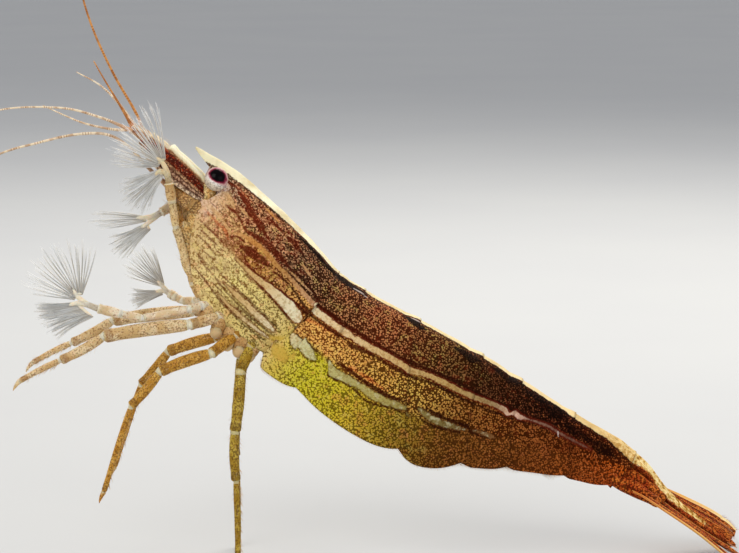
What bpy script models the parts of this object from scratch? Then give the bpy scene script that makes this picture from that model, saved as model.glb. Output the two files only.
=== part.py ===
"""Bamboo shrimp, life size: a still model standing on its hind legs and tail fan.

The head points along -X, the tail along +X, and the animal's left side faces -Y.
Lengths below are in millimetres and are scaled to metres as each mesh is made.
Z is 0 at the floor; the feet and one blade of the tail fan rest on it.
"""
import math

import bmesh
import bpy
from mathutils import Vector

MM = 0.001
CENTRE_X = 3.56           # moves the origin to the middle of the animal's length
GAP = 0.3                 # clearance between neighbouring pieces
LEFT, RIGHT = -1, 1

# Stations along the back, from the tip of the rostrum to the end of the sixth somite:
# distance along the back, x, z, tilt of the cross-section in degrees, depth, half width.
HEAD_STATIONS = (
    (0.0, -10.4, 44.2, 38.0, 12.3, 1.4),
    (4.2, -6.8, 42.1, 39.0, 12.3, 2.7),
    (9.6, -2.6, 38.8, 39.5, 12.4, 3.9),
    (15.5, 1.6, 34.6, 41.0, 12.2, 4.6),
    (20.0, 4.5, 31.2, 38.0, 11.0, 4.6),
)
TAIL_STATIONS = (
    (20.0, 4.5, 31.2, 38.0, 12.5, 4.5),
    (24.0, 7.9, 28.9, 34.0, 12.7, 4.5),
    (30.0, 13.1, 26.1, 31.0, 13.5, 4.3),
    (37.3, 19.5, 22.5, 31.0, 13.2, 4.0),
    (42.3, 23.7, 19.8, 32.0, 10.5, 3.6),
    (48.7, 29.1, 16.3, 32.0, 7.2, 2.9),
    (54.7, 34.3, 13.25, 34.0, 5.4, 2.35),
    (56.7, 35.85, 11.95, 40.0, 4.3, 2.1),
)
# Joints of the tail: distance along the back, and how far the side plates sweep backwards.
JOINTS = ((20.0, -1.0), (23.2, 0.0), (29.8, 6.0), (37.3, 5.0), (42.3, 4.0), (48.9, 2.8), (56.7, 0.4))
SHOULDER = 0.46           # share of the depth at which the body is widest
SWEEP_POWER = 1.4         # how the sweep of a joint grows towards the lower edge
PLATE = 0.65              # thickness of the side plates
CARAPACE_TUCK = 0.34      # how far the carapace draws in towards its lower edges
CARAPACE_EDGE = 0.6       # thickness of its lower edges
FEELER = 0.27             # half thickness of a feeler

EYE_RADIUS = 1.05
EYE = (-8.15, 2.6, 41.5)

# Walking legs: where each starts, then ischium, merus, carpus, propodus and claw.
WALKING_LEGS = {
    "3": ((-8.2, 2.9, 26.4), ((2.6, 182, 1.8, 0.6), (8.9, 187, 0.8, 0.74), (5.1, 209, 0.1, 0.54),
                              (4.8, 207, 0.0, 0.36), (1.2, 222, 0.0, 0.27))),
    "4": ((-6.6, 3.0, 24.4), ((2.2, 207, 2.3, 0.6), (5.5, 198, 0.9, 0.66), (4.7, 230, 0.2, 0.54),
                              (9.6, 252, -0.1, 0.36), (1.2, 235, 0.0, 0.27))),
    "5": ((-5.0, 3.0, 23.2), ((1.9, 252, 2.1, 0.6), (6.1, 265, 0.9, 0.62), (5.1, 271, 0.4, 0.54),
                              (8.2, 271, 0.3, 0.38), (2.1, 259, 0.1, 0.34))),
}
# The last right leg stands a little ahead of the left one.
RIGHT_LAST_LEG = ((-5.35, 3.0, 23.2), ((1.9, 252, 2.1, 0.6), (6.1, 265, 0.9, 0.62), (5.1, 268, 0.4, 0.54),
                                       (8.2, 271, 0.3, 0.38), (2.1, 267, 0.1, 0.34)))


def clear_scene():
    for item in list(bpy.data.objects):
        bpy.data.objects.remove(item, do_unlink=True)


def make_material(name, colour, roughness):
    material = bpy.data.materials.new(name)
    material.use_nodes = True
    shader = material.node_tree.nodes["Principled BSDF"]
    shader.inputs["Base Color"].default_value = (*colour, 1.0)
    shader.inputs["Roughness"].default_value = roughness
    shader.inputs["Metallic"].default_value = 0.0
    return material


def make_palette():
    return {
        "shell": make_material("shell", (0.34, 0.17, 0.06), 0.35),
        "limb": make_material("limb", (0.42, 0.24, 0.09), 0.4),
        "feeler": make_material("feeler", (0.72, 0.60, 0.44), 0.45),
        "bristle": make_material("bristle", (0.66, 0.64, 0.56), 0.5),
        "eye": make_material("eye", (0.03, 0.01, 0.015), 0.12),
    }


def catmull(before, start, end, after, t):
    """Value of a smooth curve between start and end."""
    slope_start = (end - before) / 2
    slope_end = (after - start) / 2
    return (start * (2 * t**3 - 3 * t**2 + 1) + slope_start * (t**3 - 2 * t**2 + t)
            + end * (3 * t**2 - 2 * t**3) + slope_end * (t**3 - t**2))


def smooth_rows(rows, steps):
    """Rows of numbers passed through by one smooth curve, with steps places to each span."""
    first = [2 * a - b for a, b in zip(rows[0], rows[1])]
    last = [2 * a - b for a, b in zip(rows[-1], rows[-2])]
    padded = [first, *rows, last]
    result = []
    for i in range(1, len(padded) - 2):
        for step in range(steps):
            t = step / steps
            result.append([catmull(*four, t) for four in zip(*padded[i - 1:i + 3])])
    result.append(list(rows[-1]))
    return result


def station(table, s):
    """x, z, tilt, depth and half width at a distance s along the back."""
    last = len(table) - 2
    i = 0
    while i < last and s > table[i + 1][0]:
        i += 1
    t = (s - table[i][0]) / (table[i + 1][0] - table[i][0])
    before = table[max(i - 1, 0)]
    after = table[min(i + 2, last + 1)]
    return [catmull(*four, t) for four in zip(before[1:], table[i][1:], table[i + 1][1:], after[1:])]


def body_point(table, s, fall, across):
    """Point of the body: fall is the share of the depth below the back, across is in mm."""
    x, z, tilt, depth, _ = station(table, s)
    tilt = math.radians(tilt)
    return Vector((x - math.sin(tilt) * depth * fall, across, z - math.cos(tilt) * depth * fall))


def profile(turn, tuck, edge):
    """Share of the depth and of the half width, for turn 0 at the back and 1 at the lower edge."""
    side = 0.58
    if turn < side:
        angle = turn / side * math.pi / 2
        return SHOULDER * (1 - math.cos(angle)), math.sin(angle)
    low = (turn - side) / (1 - side)
    return SHOULDER + (edge - SHOULDER) * low, 1 - tuck * low**2


def add_object(name, bm, material, smooth_angle=40.0):
    bmesh.ops.scale(bm, vec=(MM, MM, MM), verts=bm.verts)
    bmesh.ops.translate(bm, vec=(-CENTRE_X * MM, 0, 0), verts=bm.verts)
    bmesh.ops.recalc_face_normals(bm, faces=bm.faces)
    mesh = bpy.data.meshes.new(name)
    bm.to_mesh(mesh)
    bm.free()
    mesh.materials.append(material)
    mesh.shade_smooth()
    mesh.set_sharp_from_angle(angle=math.radians(smooth_angle))
    obj = bpy.data.objects.new(name, mesh)
    bpy.context.scene.collection.objects.link(obj)
    return obj


def skin_rings(bm, rings):
    """Faces along a row of rings with the same number of points; returns the rings' vertices."""
    loops = [[bm.verts.new(point) for point in ring] for ring in rings]
    count = len(loops[0])
    for lower, upper in zip(loops, loops[1:]):
        for i in range(count):
            j = (i + 1) % count
            bm.faces.new((lower[i], lower[j], upper[j], upper[i]))
    return loops


def add_loft(name, rings, material):
    """One closed body through rings, with flat ends."""
    bm = bmesh.new()
    loops = skin_rings(bm, rings)
    bm.faces.new(loops[0])
    bm.faces.new(loops[-1])
    return add_object(name, bm, material)


def add_trough(name, rings, turns, hollow, material):
    """One closed body through the rings of trough_ring, each end closed in level strips."""
    bm = bmesh.new()
    loops = skin_rings(bm, rings)
    for loop in (loops[0], loops[-1]):
        outer = {k: loop[k + turns] for k in range(-turns, turns + 1)}
        inner_turns = [*range(turns, hollow - 1, -1), *range(-hollow, -turns - 1, -1)]
        inner = dict(zip(inner_turns, loop[2 * turns + 1:]))
        bm.faces.new((outer[0], outer[1], outer[-1]))
        for k in range(1, min(hollow, turns)):
            lower = (outer[-k - 1], inner[-k - 1], inner[k + 1], outer[k + 1]) if k + 1 == hollow else (
                outer[-k - 1], outer[k + 1])
            bm.faces.new((outer[k], outer[-k], *lower))
        for k in range(hollow, turns):
            for j, low in ((k, k + 1), (-k, -k - 1)):
                bm.faces.new((outer[j], outer[low], inner[low], inner[j]))
    return add_object(name, bm, material)


def trough_ring(place, turns, hollow):
    """Outline of a cross-section: over the back, then round the hollow from turn number hollow.

    place(turn, side, inner) gives a point, with turn 0 at the back and 1 at the lower edge.
    """
    outline = [place(abs(k) / turns, k, False) for k in range(-turns, turns + 1)]
    outline += [place(k / turns, 1, True) for k in range(turns, hollow - 1, -1)]
    outline += [place(k / turns, -1, True) for k in range(hollow, turns + 1)]
    return outline


def add_sweep(name, knots, material, sides=8, steps=3, flat=(0.0, 1.0, 0.0)):
    """A tapered bar through knots of x, y, z, half width and half thickness.

    The thickness lies along flat, and the width across it. What reaches the floor is flat there.
    """
    rows = smooth_rows(knots, steps)
    places = [Vector(row[:3]) for row in rows]
    rings = []
    for i, row in enumerate(rows):
        along = (places[min(i + 1, len(rows) - 1)] - places[max(i - 1, 0)]).normalized()
        wide = along.cross(Vector(flat)).normalized()
        thick = wide.cross(along).normalized()
        ring = []
        for k in range(sides):
            angle = 2 * math.pi * (k + 0.5) / sides
            point = places[i] + wide * row[3] * math.cos(angle) + thick * row[4] * math.sin(angle)
            point.z = max(point.z, 0.0)
            ring.append(point)
        rings.append(ring)
    return add_loft(name, rings, material)


def sided(knots, side):
    """Knots put on the left or the right side."""
    return [(x, side * abs(y), *rest) for x, y, *rest in knots]


def side_name(side):
    return "left" if side == LEFT else "right"


def round_bar(knots):
    """Knots of a round bar from x, y, z and radius."""
    return [(x, y, z, r, r) for x, y, z, r in knots]


# ---------------------------------------------------------------- head and trunk

def carapace_front(fall):
    """Front edge of the carapace: rostrum, orbit, spine below the eye, then the cheek."""
    if fall < 0.015:
        return 0.0
    if fall < 0.15:
        return 3.0 + 2.2 * (fall / 0.15)**0.5
    if fall < 0.34:
        return 5.2 - 0.9 * (fall - 0.15) / 0.19
    return 4.3 + 5.6 * ((fall - 0.34) / 0.66)**1.8


def joint_at(index, fall):
    s, sweep = JOINTS[index]
    return s + sweep * max(fall, 0.0)**SWEEP_POWER


def add_carapace(material):
    """The shield over head and trunk, with a recessed face and a hollow between its lower edges."""
    turns, hollow, rows = 10, 9, 8

    def place_at(share, recess):
        def place(turn, side, inner):
            fall, wide = profile(turn, CARAPACE_TUCK, 1.0)
            front = carapace_front(fall)
            end = joint_at(0, fall) - GAP / 2
            s = front + (end - front) * share
            across = station(HEAD_STATIONS, s)[4] * wide * (1 - 0.35 * (1 - share)**6 * (1 - fall))
            across -= CARAPACE_EDGE if inner else 0.0
            if recess:
                hollowed = min(max((0.9 - fall) / 0.25, 0.0), 1.0)
                s = front - 0.15 + hollowed * (5.8 + 5.0 * fall**1.6 - front)
                across += 0.15 if inner else -0.15 - 0.2 * hollowed * across
                fall += hollowed * (0.07 - 0.12 * fall)
            return body_point(HEAD_STATIONS, s, fall, math.copysign(across, side) if side else 0.0)
        return place

    rings = [trough_ring(place_at(0.0, True), turns, hollow)]
    for row in range(rows + 1):
        rings.append(trough_ring(place_at(row / rows, False), turns, hollow))
    add_trough("carapace", rings, turns, hollow, material)


def add_thorax_underside(material):
    """The breast between the lower edges of the carapace, which carries the limbs."""
    rings = []
    for i in range(7):
        s = 10.6 + 8.4 * i / 6
        swell = math.sin(math.pi * (0.18 + 0.7 * i / 6))
        half = (station(HEAD_STATIONS, s)[4] * (1 - CARAPACE_TUCK) - CARAPACE_EDGE - GAP) * swell
        low = 0.99 + 0.09 * swell
        outline = ((0.905, 0.9), (0.97, 1.0), (low, 0.55))
        ring = [body_point(HEAD_STATIONS, s, fall, half * wide) for fall, wide in outline]
        ring += [body_point(HEAD_STATIONS, s, fall, -half * wide) for fall, wide in reversed(outline)]
        rings.append(ring)
    add_loft("thorax_underside", rings, material)


def add_eyes(material):
    x, y, z = EYE
    for side in (LEFT, RIGHT):
        knots = []
        for turn in (-0.42, -0.3, -0.12, 0.1, 0.3, 0.44):
            reach = EYE_RADIUS * math.sin(math.pi * turn)
            radius = EYE_RADIUS * math.cos(math.pi * turn)
            knots.append((x - 0.15 * reach, y + 0.95 * reach, z + 0.2 * reach, radius))
        stalk = [(x + 0.5, y - 2.1, z - 0.75, 0.5), (x + 0.3, y - 1.4, z - 0.4, 0.55)]
        add_sweep(f"eye_{side_name(side)}", sided(round_bar(stalk + knots), side), material,
                  sides=12, steps=1, flat=(0, 0, 1))


def add_head_limbs(palette):
    """Stalks of the feelers, the scales beside them, and the third mouth legs."""
    first_base = ((-9.9, 0.98, 40.5, 0.8, 0.66), (-10.9, 0.98, 41.5, 1.0, 0.72),
                  (-13.2, 0.98, 43.8, 0.95, 0.72),
                  (-13.7, 0.98, 44.3, 0.66, 0.62), (-15.2, 0.98, 45.3, 0.66, 0.6),
                  (-16.7, 0.98, 46.1, 0.55, 0.6))
    second_base = ((-9.9, 2.1, 38.3, 0.75, 0.7), (-11.2, 2.3, 39.2, 0.85, 0.7), (-12.6, 2.4, 40.2, 0.6, 0.5))
    scale = ((-10.2, 2.3, 40.4, 0.55, 0.3), (-12.0, 2.55, 42.0, 0.95, 0.3), (-14.2, 2.6, 43.9, 0.9, 0.3),
             (-15.9, 2.45, 45.2, 0.3, 0.26))
    mouth_leg = ((-10.9, 1.1, 30.2, 0.5, 0.55), (-11.5, 1.2, 32.6, 0.6, 0.6), (-11.9, 1.2, 35.0, 0.6, 0.6),
                 (-12.3, 1.1, 37.0, 0.5, 0.5), (-12.9, 1.1, 39.6, 0.3, 0.3))
    for side in (LEFT, RIGHT):
        name = side_name(side)
        add_sweep(f"antennule_base_{name}", sided(first_base, side), palette["limb"])
        add_sweep(f"antenna_base_{name}", sided(second_base, side), palette["limb"])
        add_sweep(f"antenna_scale_{name}", sided(scale, side), palette["shell"])
        add_sweep(f"mouth_leg_{name}", sided(mouth_leg, side), palette["limb"])


def add_feelers(material):
    """Two short feelers on each first stalk and one long one on each second stalk."""
    routes = {
        "antennule_outer_left": ((-17.15, -1.3, 46.2), (-20.2, -1.5, 47.6), (-24.3, -1.9, 48.6),
                                 (-30.5, -2.6, 48.4), (-36.0, -3.6, 46.2)),
        "antennule_inner_left": ((-17.15, -0.62, 46.85), (-17.9, -0.6, 48.4), (-19.8, -0.6, 51.6),
                                 (-20.8, -0.6, 53.4)),
        "antennule_outer_right": ((-17.15, 1.3, 46.2), (-18.8, 1.8, 46.0), (-22.5, 3.6, 46.6),
                                  (-27.0, 6.4, 48.2)),
        "antennule_inner_right": ((-17.15, 0.62, 46.85), (-18.2, 1.0, 48.6), (-20.3, 1.8, 50.6),
                                  (-23.0, 3.0, 52.0)),
        "antenna_whip_left": ((-13.0, -2.3, 40.45), (-15.2, -2.3, 42.5), (-17.1, -2.4, 44.6),
                              (-19.4, -2.6, 45.9), (-22.6, -2.8, 45.9), (-26.3, -3.1, 45.1),
                              (-30.5, -3.8, 43.9), (-36.0, -5.4, 41.0), (-41.0, -7.4, 36.4)),
        "antenna_whip_right": ((-13.0, 2.6, 40.45), (-15.2, 3.3, 43.2), (-16.6, 3.5, 47.2),
                               (-19.1, 3.6, 51.7), (-21.2, 3.9, 56.3), (-22.5, 4.6, 60.5),
                               (-23.0, 5.8, 65.0), (-22.4, 7.4, 69.0)),
    }
    for name, route in routes.items():
        add_sweep(name, round_bar([(*point, FEELER) for point in route]), material, sides=6, steps=2)


# ---------------------------------------------------------------- limbs

def add_feeding_arms(palette):
    """Two pairs of arms, each ending in two fingers that carry a fan of bristles."""
    arms = {
        "feeding_arm_1_left": ((-10.5, -1.9, 28.2, 0.42), (-11.25, -2.2, 30.2, 0.42),
                               (-12.0, -2.7, 33.2, 0.42), (-12.6, -3.05, 36.2, 0.42),
                               (-12.8, -3.25, 38.6, 0.4), (-12.95, -3.4, 40.2, 0.48),
                               (-13.2, -3.5, 41.6, 0.42)),
        "feeding_arm_1_right": ((-10.5, 1.9, 28.2, 0.42), (-11.1, 2.3, 30.2, 0.42), (-11.8, 2.6, 33.2, 0.42),
                                (-12.5, 2.5, 36.2, 0.42), (-12.9, 2.1, 37.6, 0.4), (-13.9, 1.6, 37.5, 0.48),
                                (-14.7, 1.35, 37.1, 0.42)),
        "feeding_arm_2_left": ((-9.6, -2.7, 27.9, 0.5), (-11.0, -3.6, 27.7, 0.5), (-13.4, -4.4, 27.3, 0.46),
                               (-16.0, -4.9, 27.1, 0.42), (-18.2, -5.1, 27.5, 0.45), (-19.8, -5.2, 28.0, 0.5),
                               (-21.2, -5.3, 28.5, 0.45)),
        "feeding_arm_2_right": ((-9.6, 2.7, 27.9, 0.5), (-10.7, 3.5, 27.6, 0.5), (-12.0, 4.0, 27.5, 0.46),
                                (-12.8, 4.4, 27.8, 0.45), (-13.5, 4.7, 28.2, 0.45)),
    }
    for name, knots in arms.items():
        add_sweep(name, round_bar(knots), palette["limb"], sides=8, steps=2)


def add_fan(name, apex, heel, start, end, radius, lean, material):
    """A ribbed fan of bristles from apex, between two angles, leaning sideways by lean mm at its rim.

    Its root spreads from apex by heel. The angles are in degrees in the XZ plane, from the tailward
    direction and turning upwards.
    """
    ribs = 6
    rows = (0.16, 0.6, 1.0)
    half = 0.3
    bm = bmesh.new()
    layers = []
    for offset in (-half, half):
        grid = []
        for share in rows:
            line = []
            for i in range(2 * ribs - 1):
                angle = math.radians(start + (end - start) * i / (2 * ribs - 2))
                notch = 0.88 if (share == 1.0 and i % 2) else 1.0
                reach = radius * share * notch
                curl = lean * share**1.6 + 0.5 * math.cos(math.pi * i / (2 * ribs - 2)) * share
                way = Vector((math.cos(angle) * reach, curl + offset, math.sin(angle) * reach))
                place = Vector(apex) + Vector(heel) * (i / (2 * ribs - 2)) + way
                line.append(bm.verts.new(place))
            grid.append(line)
        layers.append(grid)
    close_grid(bm, *layers)
    add_object(name, bm, material)


def close_grid(bm, under, over):
    """Faces of a plate between two grids of vertices with the same rows and columns."""
    rows, columns = len(under), len(under[0])
    for grid in (under, over):
        for r in range(rows - 1):
            for c in range(columns - 1):
                bm.faces.new((grid[r][c], grid[r][c + 1], grid[r + 1][c + 1], grid[r + 1][c]))
    rim = [(0, c) for c in range(columns)] + [(r, columns - 1) for r in range(1, rows)]
    rim += [(rows - 1, c) for c in range(columns - 2, -1, -1)] + [(r, 0) for r in range(rows - 2, 0, -1)]
    for (r, c), (next_r, next_c) in zip(rim, rim[1:] + rim[:1]):
        bm.faces.new((under[r][c], under[next_r][next_c], over[next_r][next_c], over[r][c]))


def add_fans(material):
    """The brushes of the eight fingers: apex, heel, first and last angle, radius and lean."""
    fans = {
        "fan_1_left_upper": ((-13.2, -3.6, 42.8), (-0.2, 0.0, -0.1), 93, 186, 6.4, -1.2),
        "fan_1_left_lower": ((-13.4, -3.6, 42.4), (0.2, 0.0, -0.4), 198, 240, 5.5, -0.8),
        "fan_1_right_upper": ((-15.3, 1.2, 36.9), (0.2, 0.0, -0.2), 168, 194, 6.5, -0.8),
        "fan_1_right_lower": ((-15.3, 1.2, 36.3), (0.3, 0.0, -0.4), 206, 226, 5.4, 0.6),
        "fan_2_left_upper": ((-22.0, -5.4, 29.3), (0.1, 0.0, 0.0), 66, 174, 6.8, -1.0),
        "fan_2_left_lower": ((-22.0, -5.4, 28.6), (1.7, 0.0, -1.3), 186, 206, 5.6, 0.9),
        "fan_2_right_upper": ((-14.0, 4.9, 28.9), (0.0, 0.0, 0.2), 102, 168, 5.4, 1.2),
        "fan_2_right_lower": ((-14.2, 4.9, 28.4), (0.2, 0.0, -0.2), 178, 200, 3.8, -0.8),
    }
    for name, values in fans.items():
        add_fan(name, *values, material)


def leg_knots(base, segments):
    """Knots along a leg of straight segments of length, pitch, outward reach and half width.

    The pitch is in degrees from the tailward direction, turning upwards. Each joint is drawn in.
    """
    x, y, z = base
    knots = []
    for length, pitch, outward, radius in segments:
        angle = math.radians(pitch)
        step = Vector((math.cos(angle) * length, outward, math.sin(angle) * length))
        for share, girth in ((0.04, 0.86), (0.5, 1.05), (0.93, 0.86)):
            knots.append((x + step.x * share, y + step.y * share, z + step.z * share, radius * girth))
        x, y, z = x + step.x, y + step.y, z + step.z
    return [*knots, (x, y, z, segments[-1][3] * 0.85)]


def add_walking_legs(material):
    """Three pairs; the first two pairs reach forwards, the last pair stands on the floor."""
    for side in (LEFT, RIGHT):
        legs = WALKING_LEGS if side == LEFT else {**WALKING_LEGS, "5": RIGHT_LAST_LEG}
        for number, (base, segments) in legs.items():
            knots = sided(round_bar(leg_knots(base, segments)), side)
            add_sweep(f"leg_{number}_{side_name(side)}", knots, material, sides=7, steps=1)


# ---------------------------------------------------------------- tail

def add_somite(number, material):
    """One ring of the tail; the first five have side plates around a hollow for the swimmerets."""
    turns, rows = 8, 5
    hollow = 6 if number < 6 else turns + 1
    tuck = 0.16 if number < 6 else 0.5
    rings = []
    for row in range(rows + 1):
        share = row / rows
        lobe = 1.0 - 0.09 * abs(2 * share - 1)**3

        def place(turn, side, inner):
            fall, wide = profile(turn, tuck, lobe)
            start = joint_at(number - 1, fall) + GAP / 2
            end = joint_at(number, fall) - GAP / 2
            s = start + (end - start) * share
            across = station(TAIL_STATIONS, s)[4] * wide - (PLATE if inner else 0.0)
            return body_point(TAIL_STATIONS, s, fall, math.copysign(across, side) if side else 0.0)

        rings.append(trough_ring(place, turns, hollow))
    add_trough(f"somite_{number}", rings, turns, hollow, material)


def add_swimmerets(material):
    """Five pairs of paddles folded back under the tail, between the side plates."""
    lengths = (3.4, 5.2, 5.2, 4.4, 2.6)
    for number, length in enumerate(lengths, start=1):
        start = sum(joint_at(k, 0.72) for k in (number - 1, number)) / 2
        half = station(TAIL_STATIONS, start)[4]
        for side in (LEFT, RIGHT):
            knots = []
            for t, wide, fall in ((0.0, 0.4, 0.77), (0.35, 0.6, 0.83), (0.75, 0.6, 0.9), (1.0, 0.35, 0.95)):
                place = body_point(TAIL_STATIONS, start + length * t, fall, half * 0.42 * side)
                knots.append((*place, wide, 0.3))
            add_sweep(f"swimmeret_{number}_{side_name(side)}", knots, material, sides=8, steps=1)


def add_tail_fan(material):
    """The pointed middle plate and, on each side, an inner and an outer blade."""
    telson = ((35.75, 0.0, 10.85, 0.95, 1.75), (37.0, 0.0, 9.8, 0.9, 1.65), (38.6, 0.0, 7.75, 0.75, 1.5),
              (40.4, 0.0, 5.95, 0.6, 1.35), (42.8, 0.0, 4.2, 0.45, 1.15), (45.2, 0.0, 2.7, 0.32, 0.9),
              (46.4, 0.0, 1.9, 0.26, 0.55))
    add_sweep("telson", telson, material, sides=10)
    # Each blade: how far its outer edge is raised, in degrees, then its knots.
    blades = {
        "tail_fan_inner_left": (0, ((36.9, -1.9, 8.3, 0.35, 0.42), (38.7, -2.4, 6.85, 0.32, 0.9),
                                    (42.4, -3.05, 4.2, 0.3, 1.15), (45.6, -3.1, 2.2, 0.28, 1.12),
                                    (46.7, -3.1, 1.6, 0.26, 0.7))),
        "tail_fan_outer_left": (0, ((34.5, -1.9, 8.75, 0.65, 0.7), (36.6, -3.2, 8.0, 0.7, 0.7),
                                    (38.4, -4.5, 6.95, 0.35, 1.05), (42.0, -5.85, 4.6, 0.3, 1.35),
                                    (45.8, -6.2, 1.5, 0.28, 1.38), (47.3, -6.25, 0.3, 0.27, 1.1),
                                    (48.2, -6.25, 0.18, 0.26, 0.7))),
        "tail_fan_inner_right": (12, ((36.9, 1.9, 8.5, 0.35, 0.42), (38.9, 2.6, 6.95, 0.3, 1.0),
                                      (42.5, 3.1, 4.5, 0.3, 1.2), (45.5, 3.2, 2.75, 0.28, 1.15),
                                      (46.6, 3.2, 2.15, 0.26, 0.7))),
        "tail_fan_outer_right": (34, ((34.5, 1.9, 8.95, 0.65, 0.7), (36.6, 3.2, 8.3, 0.7, 0.7),
                                      (38.7, 4.6, 7.1, 0.35, 1.1), (41.6, 5.6, 5.6, 0.3, 1.5),
                                      (44.6, 6.0, 3.9, 0.3, 1.65), (46.4, 6.1, 2.6, 0.28, 1.4),
                                      (47.4, 6.1, 1.85, 0.26, 0.7))),
    }
    for name, (raised, knots) in blades.items():
        angle = math.radians(raised)
        add_sweep(name, knots, material, sides=8, flat=(0.0, math.cos(angle), math.sin(angle)))


def main():
    clear_scene()
    palette = make_palette()
    add_carapace(palette["shell"])
    add_thorax_underside(palette["limb"])
    add_eyes(palette["eye"])
    add_head_limbs(palette)
    add_feelers(palette["feeler"])
    add_feeding_arms(palette)
    add_fans(palette["bristle"])
    add_walking_legs(palette["limb"])
    for number in range(1, 7):
        add_somite(number, palette["shell"])
    add_swimmerets(palette["limb"])
    add_tail_fan(palette["shell"])


main()
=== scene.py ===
"""Bamboo shrimp, life size: shell plates, skin, limbs, feelers, brushes and markings around its solids.

The head points along -X and the animal's left side faces -Y. Shapes are worked out in millimetres, in the
solids' own measure, and are scaled to metres when a piece is made.
"""
import math

import bpy
import numpy as np
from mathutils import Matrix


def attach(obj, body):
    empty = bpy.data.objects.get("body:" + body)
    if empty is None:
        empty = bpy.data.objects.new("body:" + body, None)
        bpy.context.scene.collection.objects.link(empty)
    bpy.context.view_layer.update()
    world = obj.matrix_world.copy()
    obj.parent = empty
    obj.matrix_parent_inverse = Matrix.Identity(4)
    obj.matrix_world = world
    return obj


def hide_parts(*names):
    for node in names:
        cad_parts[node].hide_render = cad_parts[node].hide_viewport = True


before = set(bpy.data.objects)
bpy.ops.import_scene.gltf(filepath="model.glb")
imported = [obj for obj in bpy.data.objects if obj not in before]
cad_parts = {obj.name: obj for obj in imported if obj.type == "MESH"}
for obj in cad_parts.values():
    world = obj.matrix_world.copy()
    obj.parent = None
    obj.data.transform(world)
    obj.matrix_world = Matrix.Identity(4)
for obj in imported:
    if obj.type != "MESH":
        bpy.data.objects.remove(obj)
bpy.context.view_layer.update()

MM = 0.001
CENTRE_X = 3.56
BACK_LENGTH = 57        # from the tip of the beak to the end of the sixth tail ring
FLANK_HEIGHT = 12
BRISTLE_PATCH = 0.003     # width of a bristle's own square on the unwrapped skin
CARAPACE_THICKNESS, PLATE_THICKNESS, BLADE_THICKNESS, SCALE_THICKNESS = 0.26, 0.24, 0.2, 0.15
UNDERLAP, OVERLAP = 1.5, 0.34   # how far a tail plate reaches under the one before and over the one behind
SKIN_COLUMNS = 96
SKIN_FLANKS = 0.74        # share of a ring of skin that lies behind the plates; the rest crosses below
LEFT, RIGHT = -1, 1
SIDES = ((LEFT, "left"), (RIGHT, "right"))

# Distance along the back from the beak, x, z, tilt of the cross-section in degrees, depth, half width.
HEAD_STATIONS = ((0, -10.4, 44.2, 38, 12.3, 1.4), (4.2, -6.8, 42.1, 39, 12.3, 2.7),
                 (9.6, -2.6, 38.8, 39.5, 12.4, 3.9), (15.5, 1.6, 34.6, 41, 12.2, 4.6),
                 (20, 4.5, 31.2, 38, 11, 4.6))
TAIL_STATIONS = ((20, 4.5, 31.2, 38, 12.5, 4.5), (24, 7.9, 28.9, 34, 12.7, 4.5),
                 (30, 13.1, 26.1, 31, 13.5, 4.3), (37.3, 19.5, 22.5, 31, 13.2, 4),
                 (42.3, 23.7, 19.8, 32, 10.5, 3.6), (48.7, 29.1, 16.3, 32, 7.2, 2.9),
                 (54.7, 34.3, 13.25, 34, 5.4, 2.35), (56.7, 35.85, 11.95, 40, 4.3, 2.1))
# Joints of the tail: distance along the back, and how far the side plates sweep backwards.
JOINTS = ((20, -1), (23.2, 0), (29.8, 6), (37.3, 5), (42.3, 4), (48.9, 2.8), (56.7, 0.4))
SEEDS = {"stalks": 11, "mouth_legs": 23, "legs": 40, "swimmerets": 70, "tail_blades": 90, "telson": 97,
         "brushes": 101, "hems": 131}
SHOULDER = 0.46           # share of the depth at which the body is widest
SHOULDER_TURN = 0.58      # how far round the flank that is
SWEEP_POWER = 1.4
CARAPACE_TUCK = 0.34
PLATE_TUCK = 0.16


# ---------------------------------------------------------------- colours and finishes

def tone(red, green, blue):
    """A shader's colour from its everyday 0 to 255 values."""
    linear = [c / 3294.6 if c < 11 else ((c / 255 + 0.055) / 1.055)**2.4 for c in (red, green, blue)]
    return (*linear, 1)


class Wire:
    """A number on its way through a material; arithmetic on it adds Math nodes."""

    def __init__(self, tree, socket):
        self.tree = tree
        self.socket = socket

    def math(self, operation, *terms):
        node = self.tree.nodes.new("ShaderNodeMath")
        node.operation = operation
        for slot, term in zip(node.inputs, terms):
            connect(self.tree, slot, term)
        return Wire(self.tree, node.outputs[0])

    def __add__(self, other):
        return self.math("ADD", self, other)

    def __sub__(self, other):
        return self.math("SUBTRACT", self, other)

    def __rsub__(self, other):
        return self.math("SUBTRACT", other, self)

    def __mul__(self, other):
        return self.math("MULTIPLY", self, other)

    __radd__ = __add__
    __rmul__ = __mul__


def connect(tree, slot, term):
    """Links a wire to a socket, or sets the socket to a number or to a colour of everyday values."""
    if isinstance(term, Wire):
        tree.links.new(term.socket, slot)
    else:
        slot.default_value = tone(*term) if isinstance(term, tuple) else term


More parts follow.
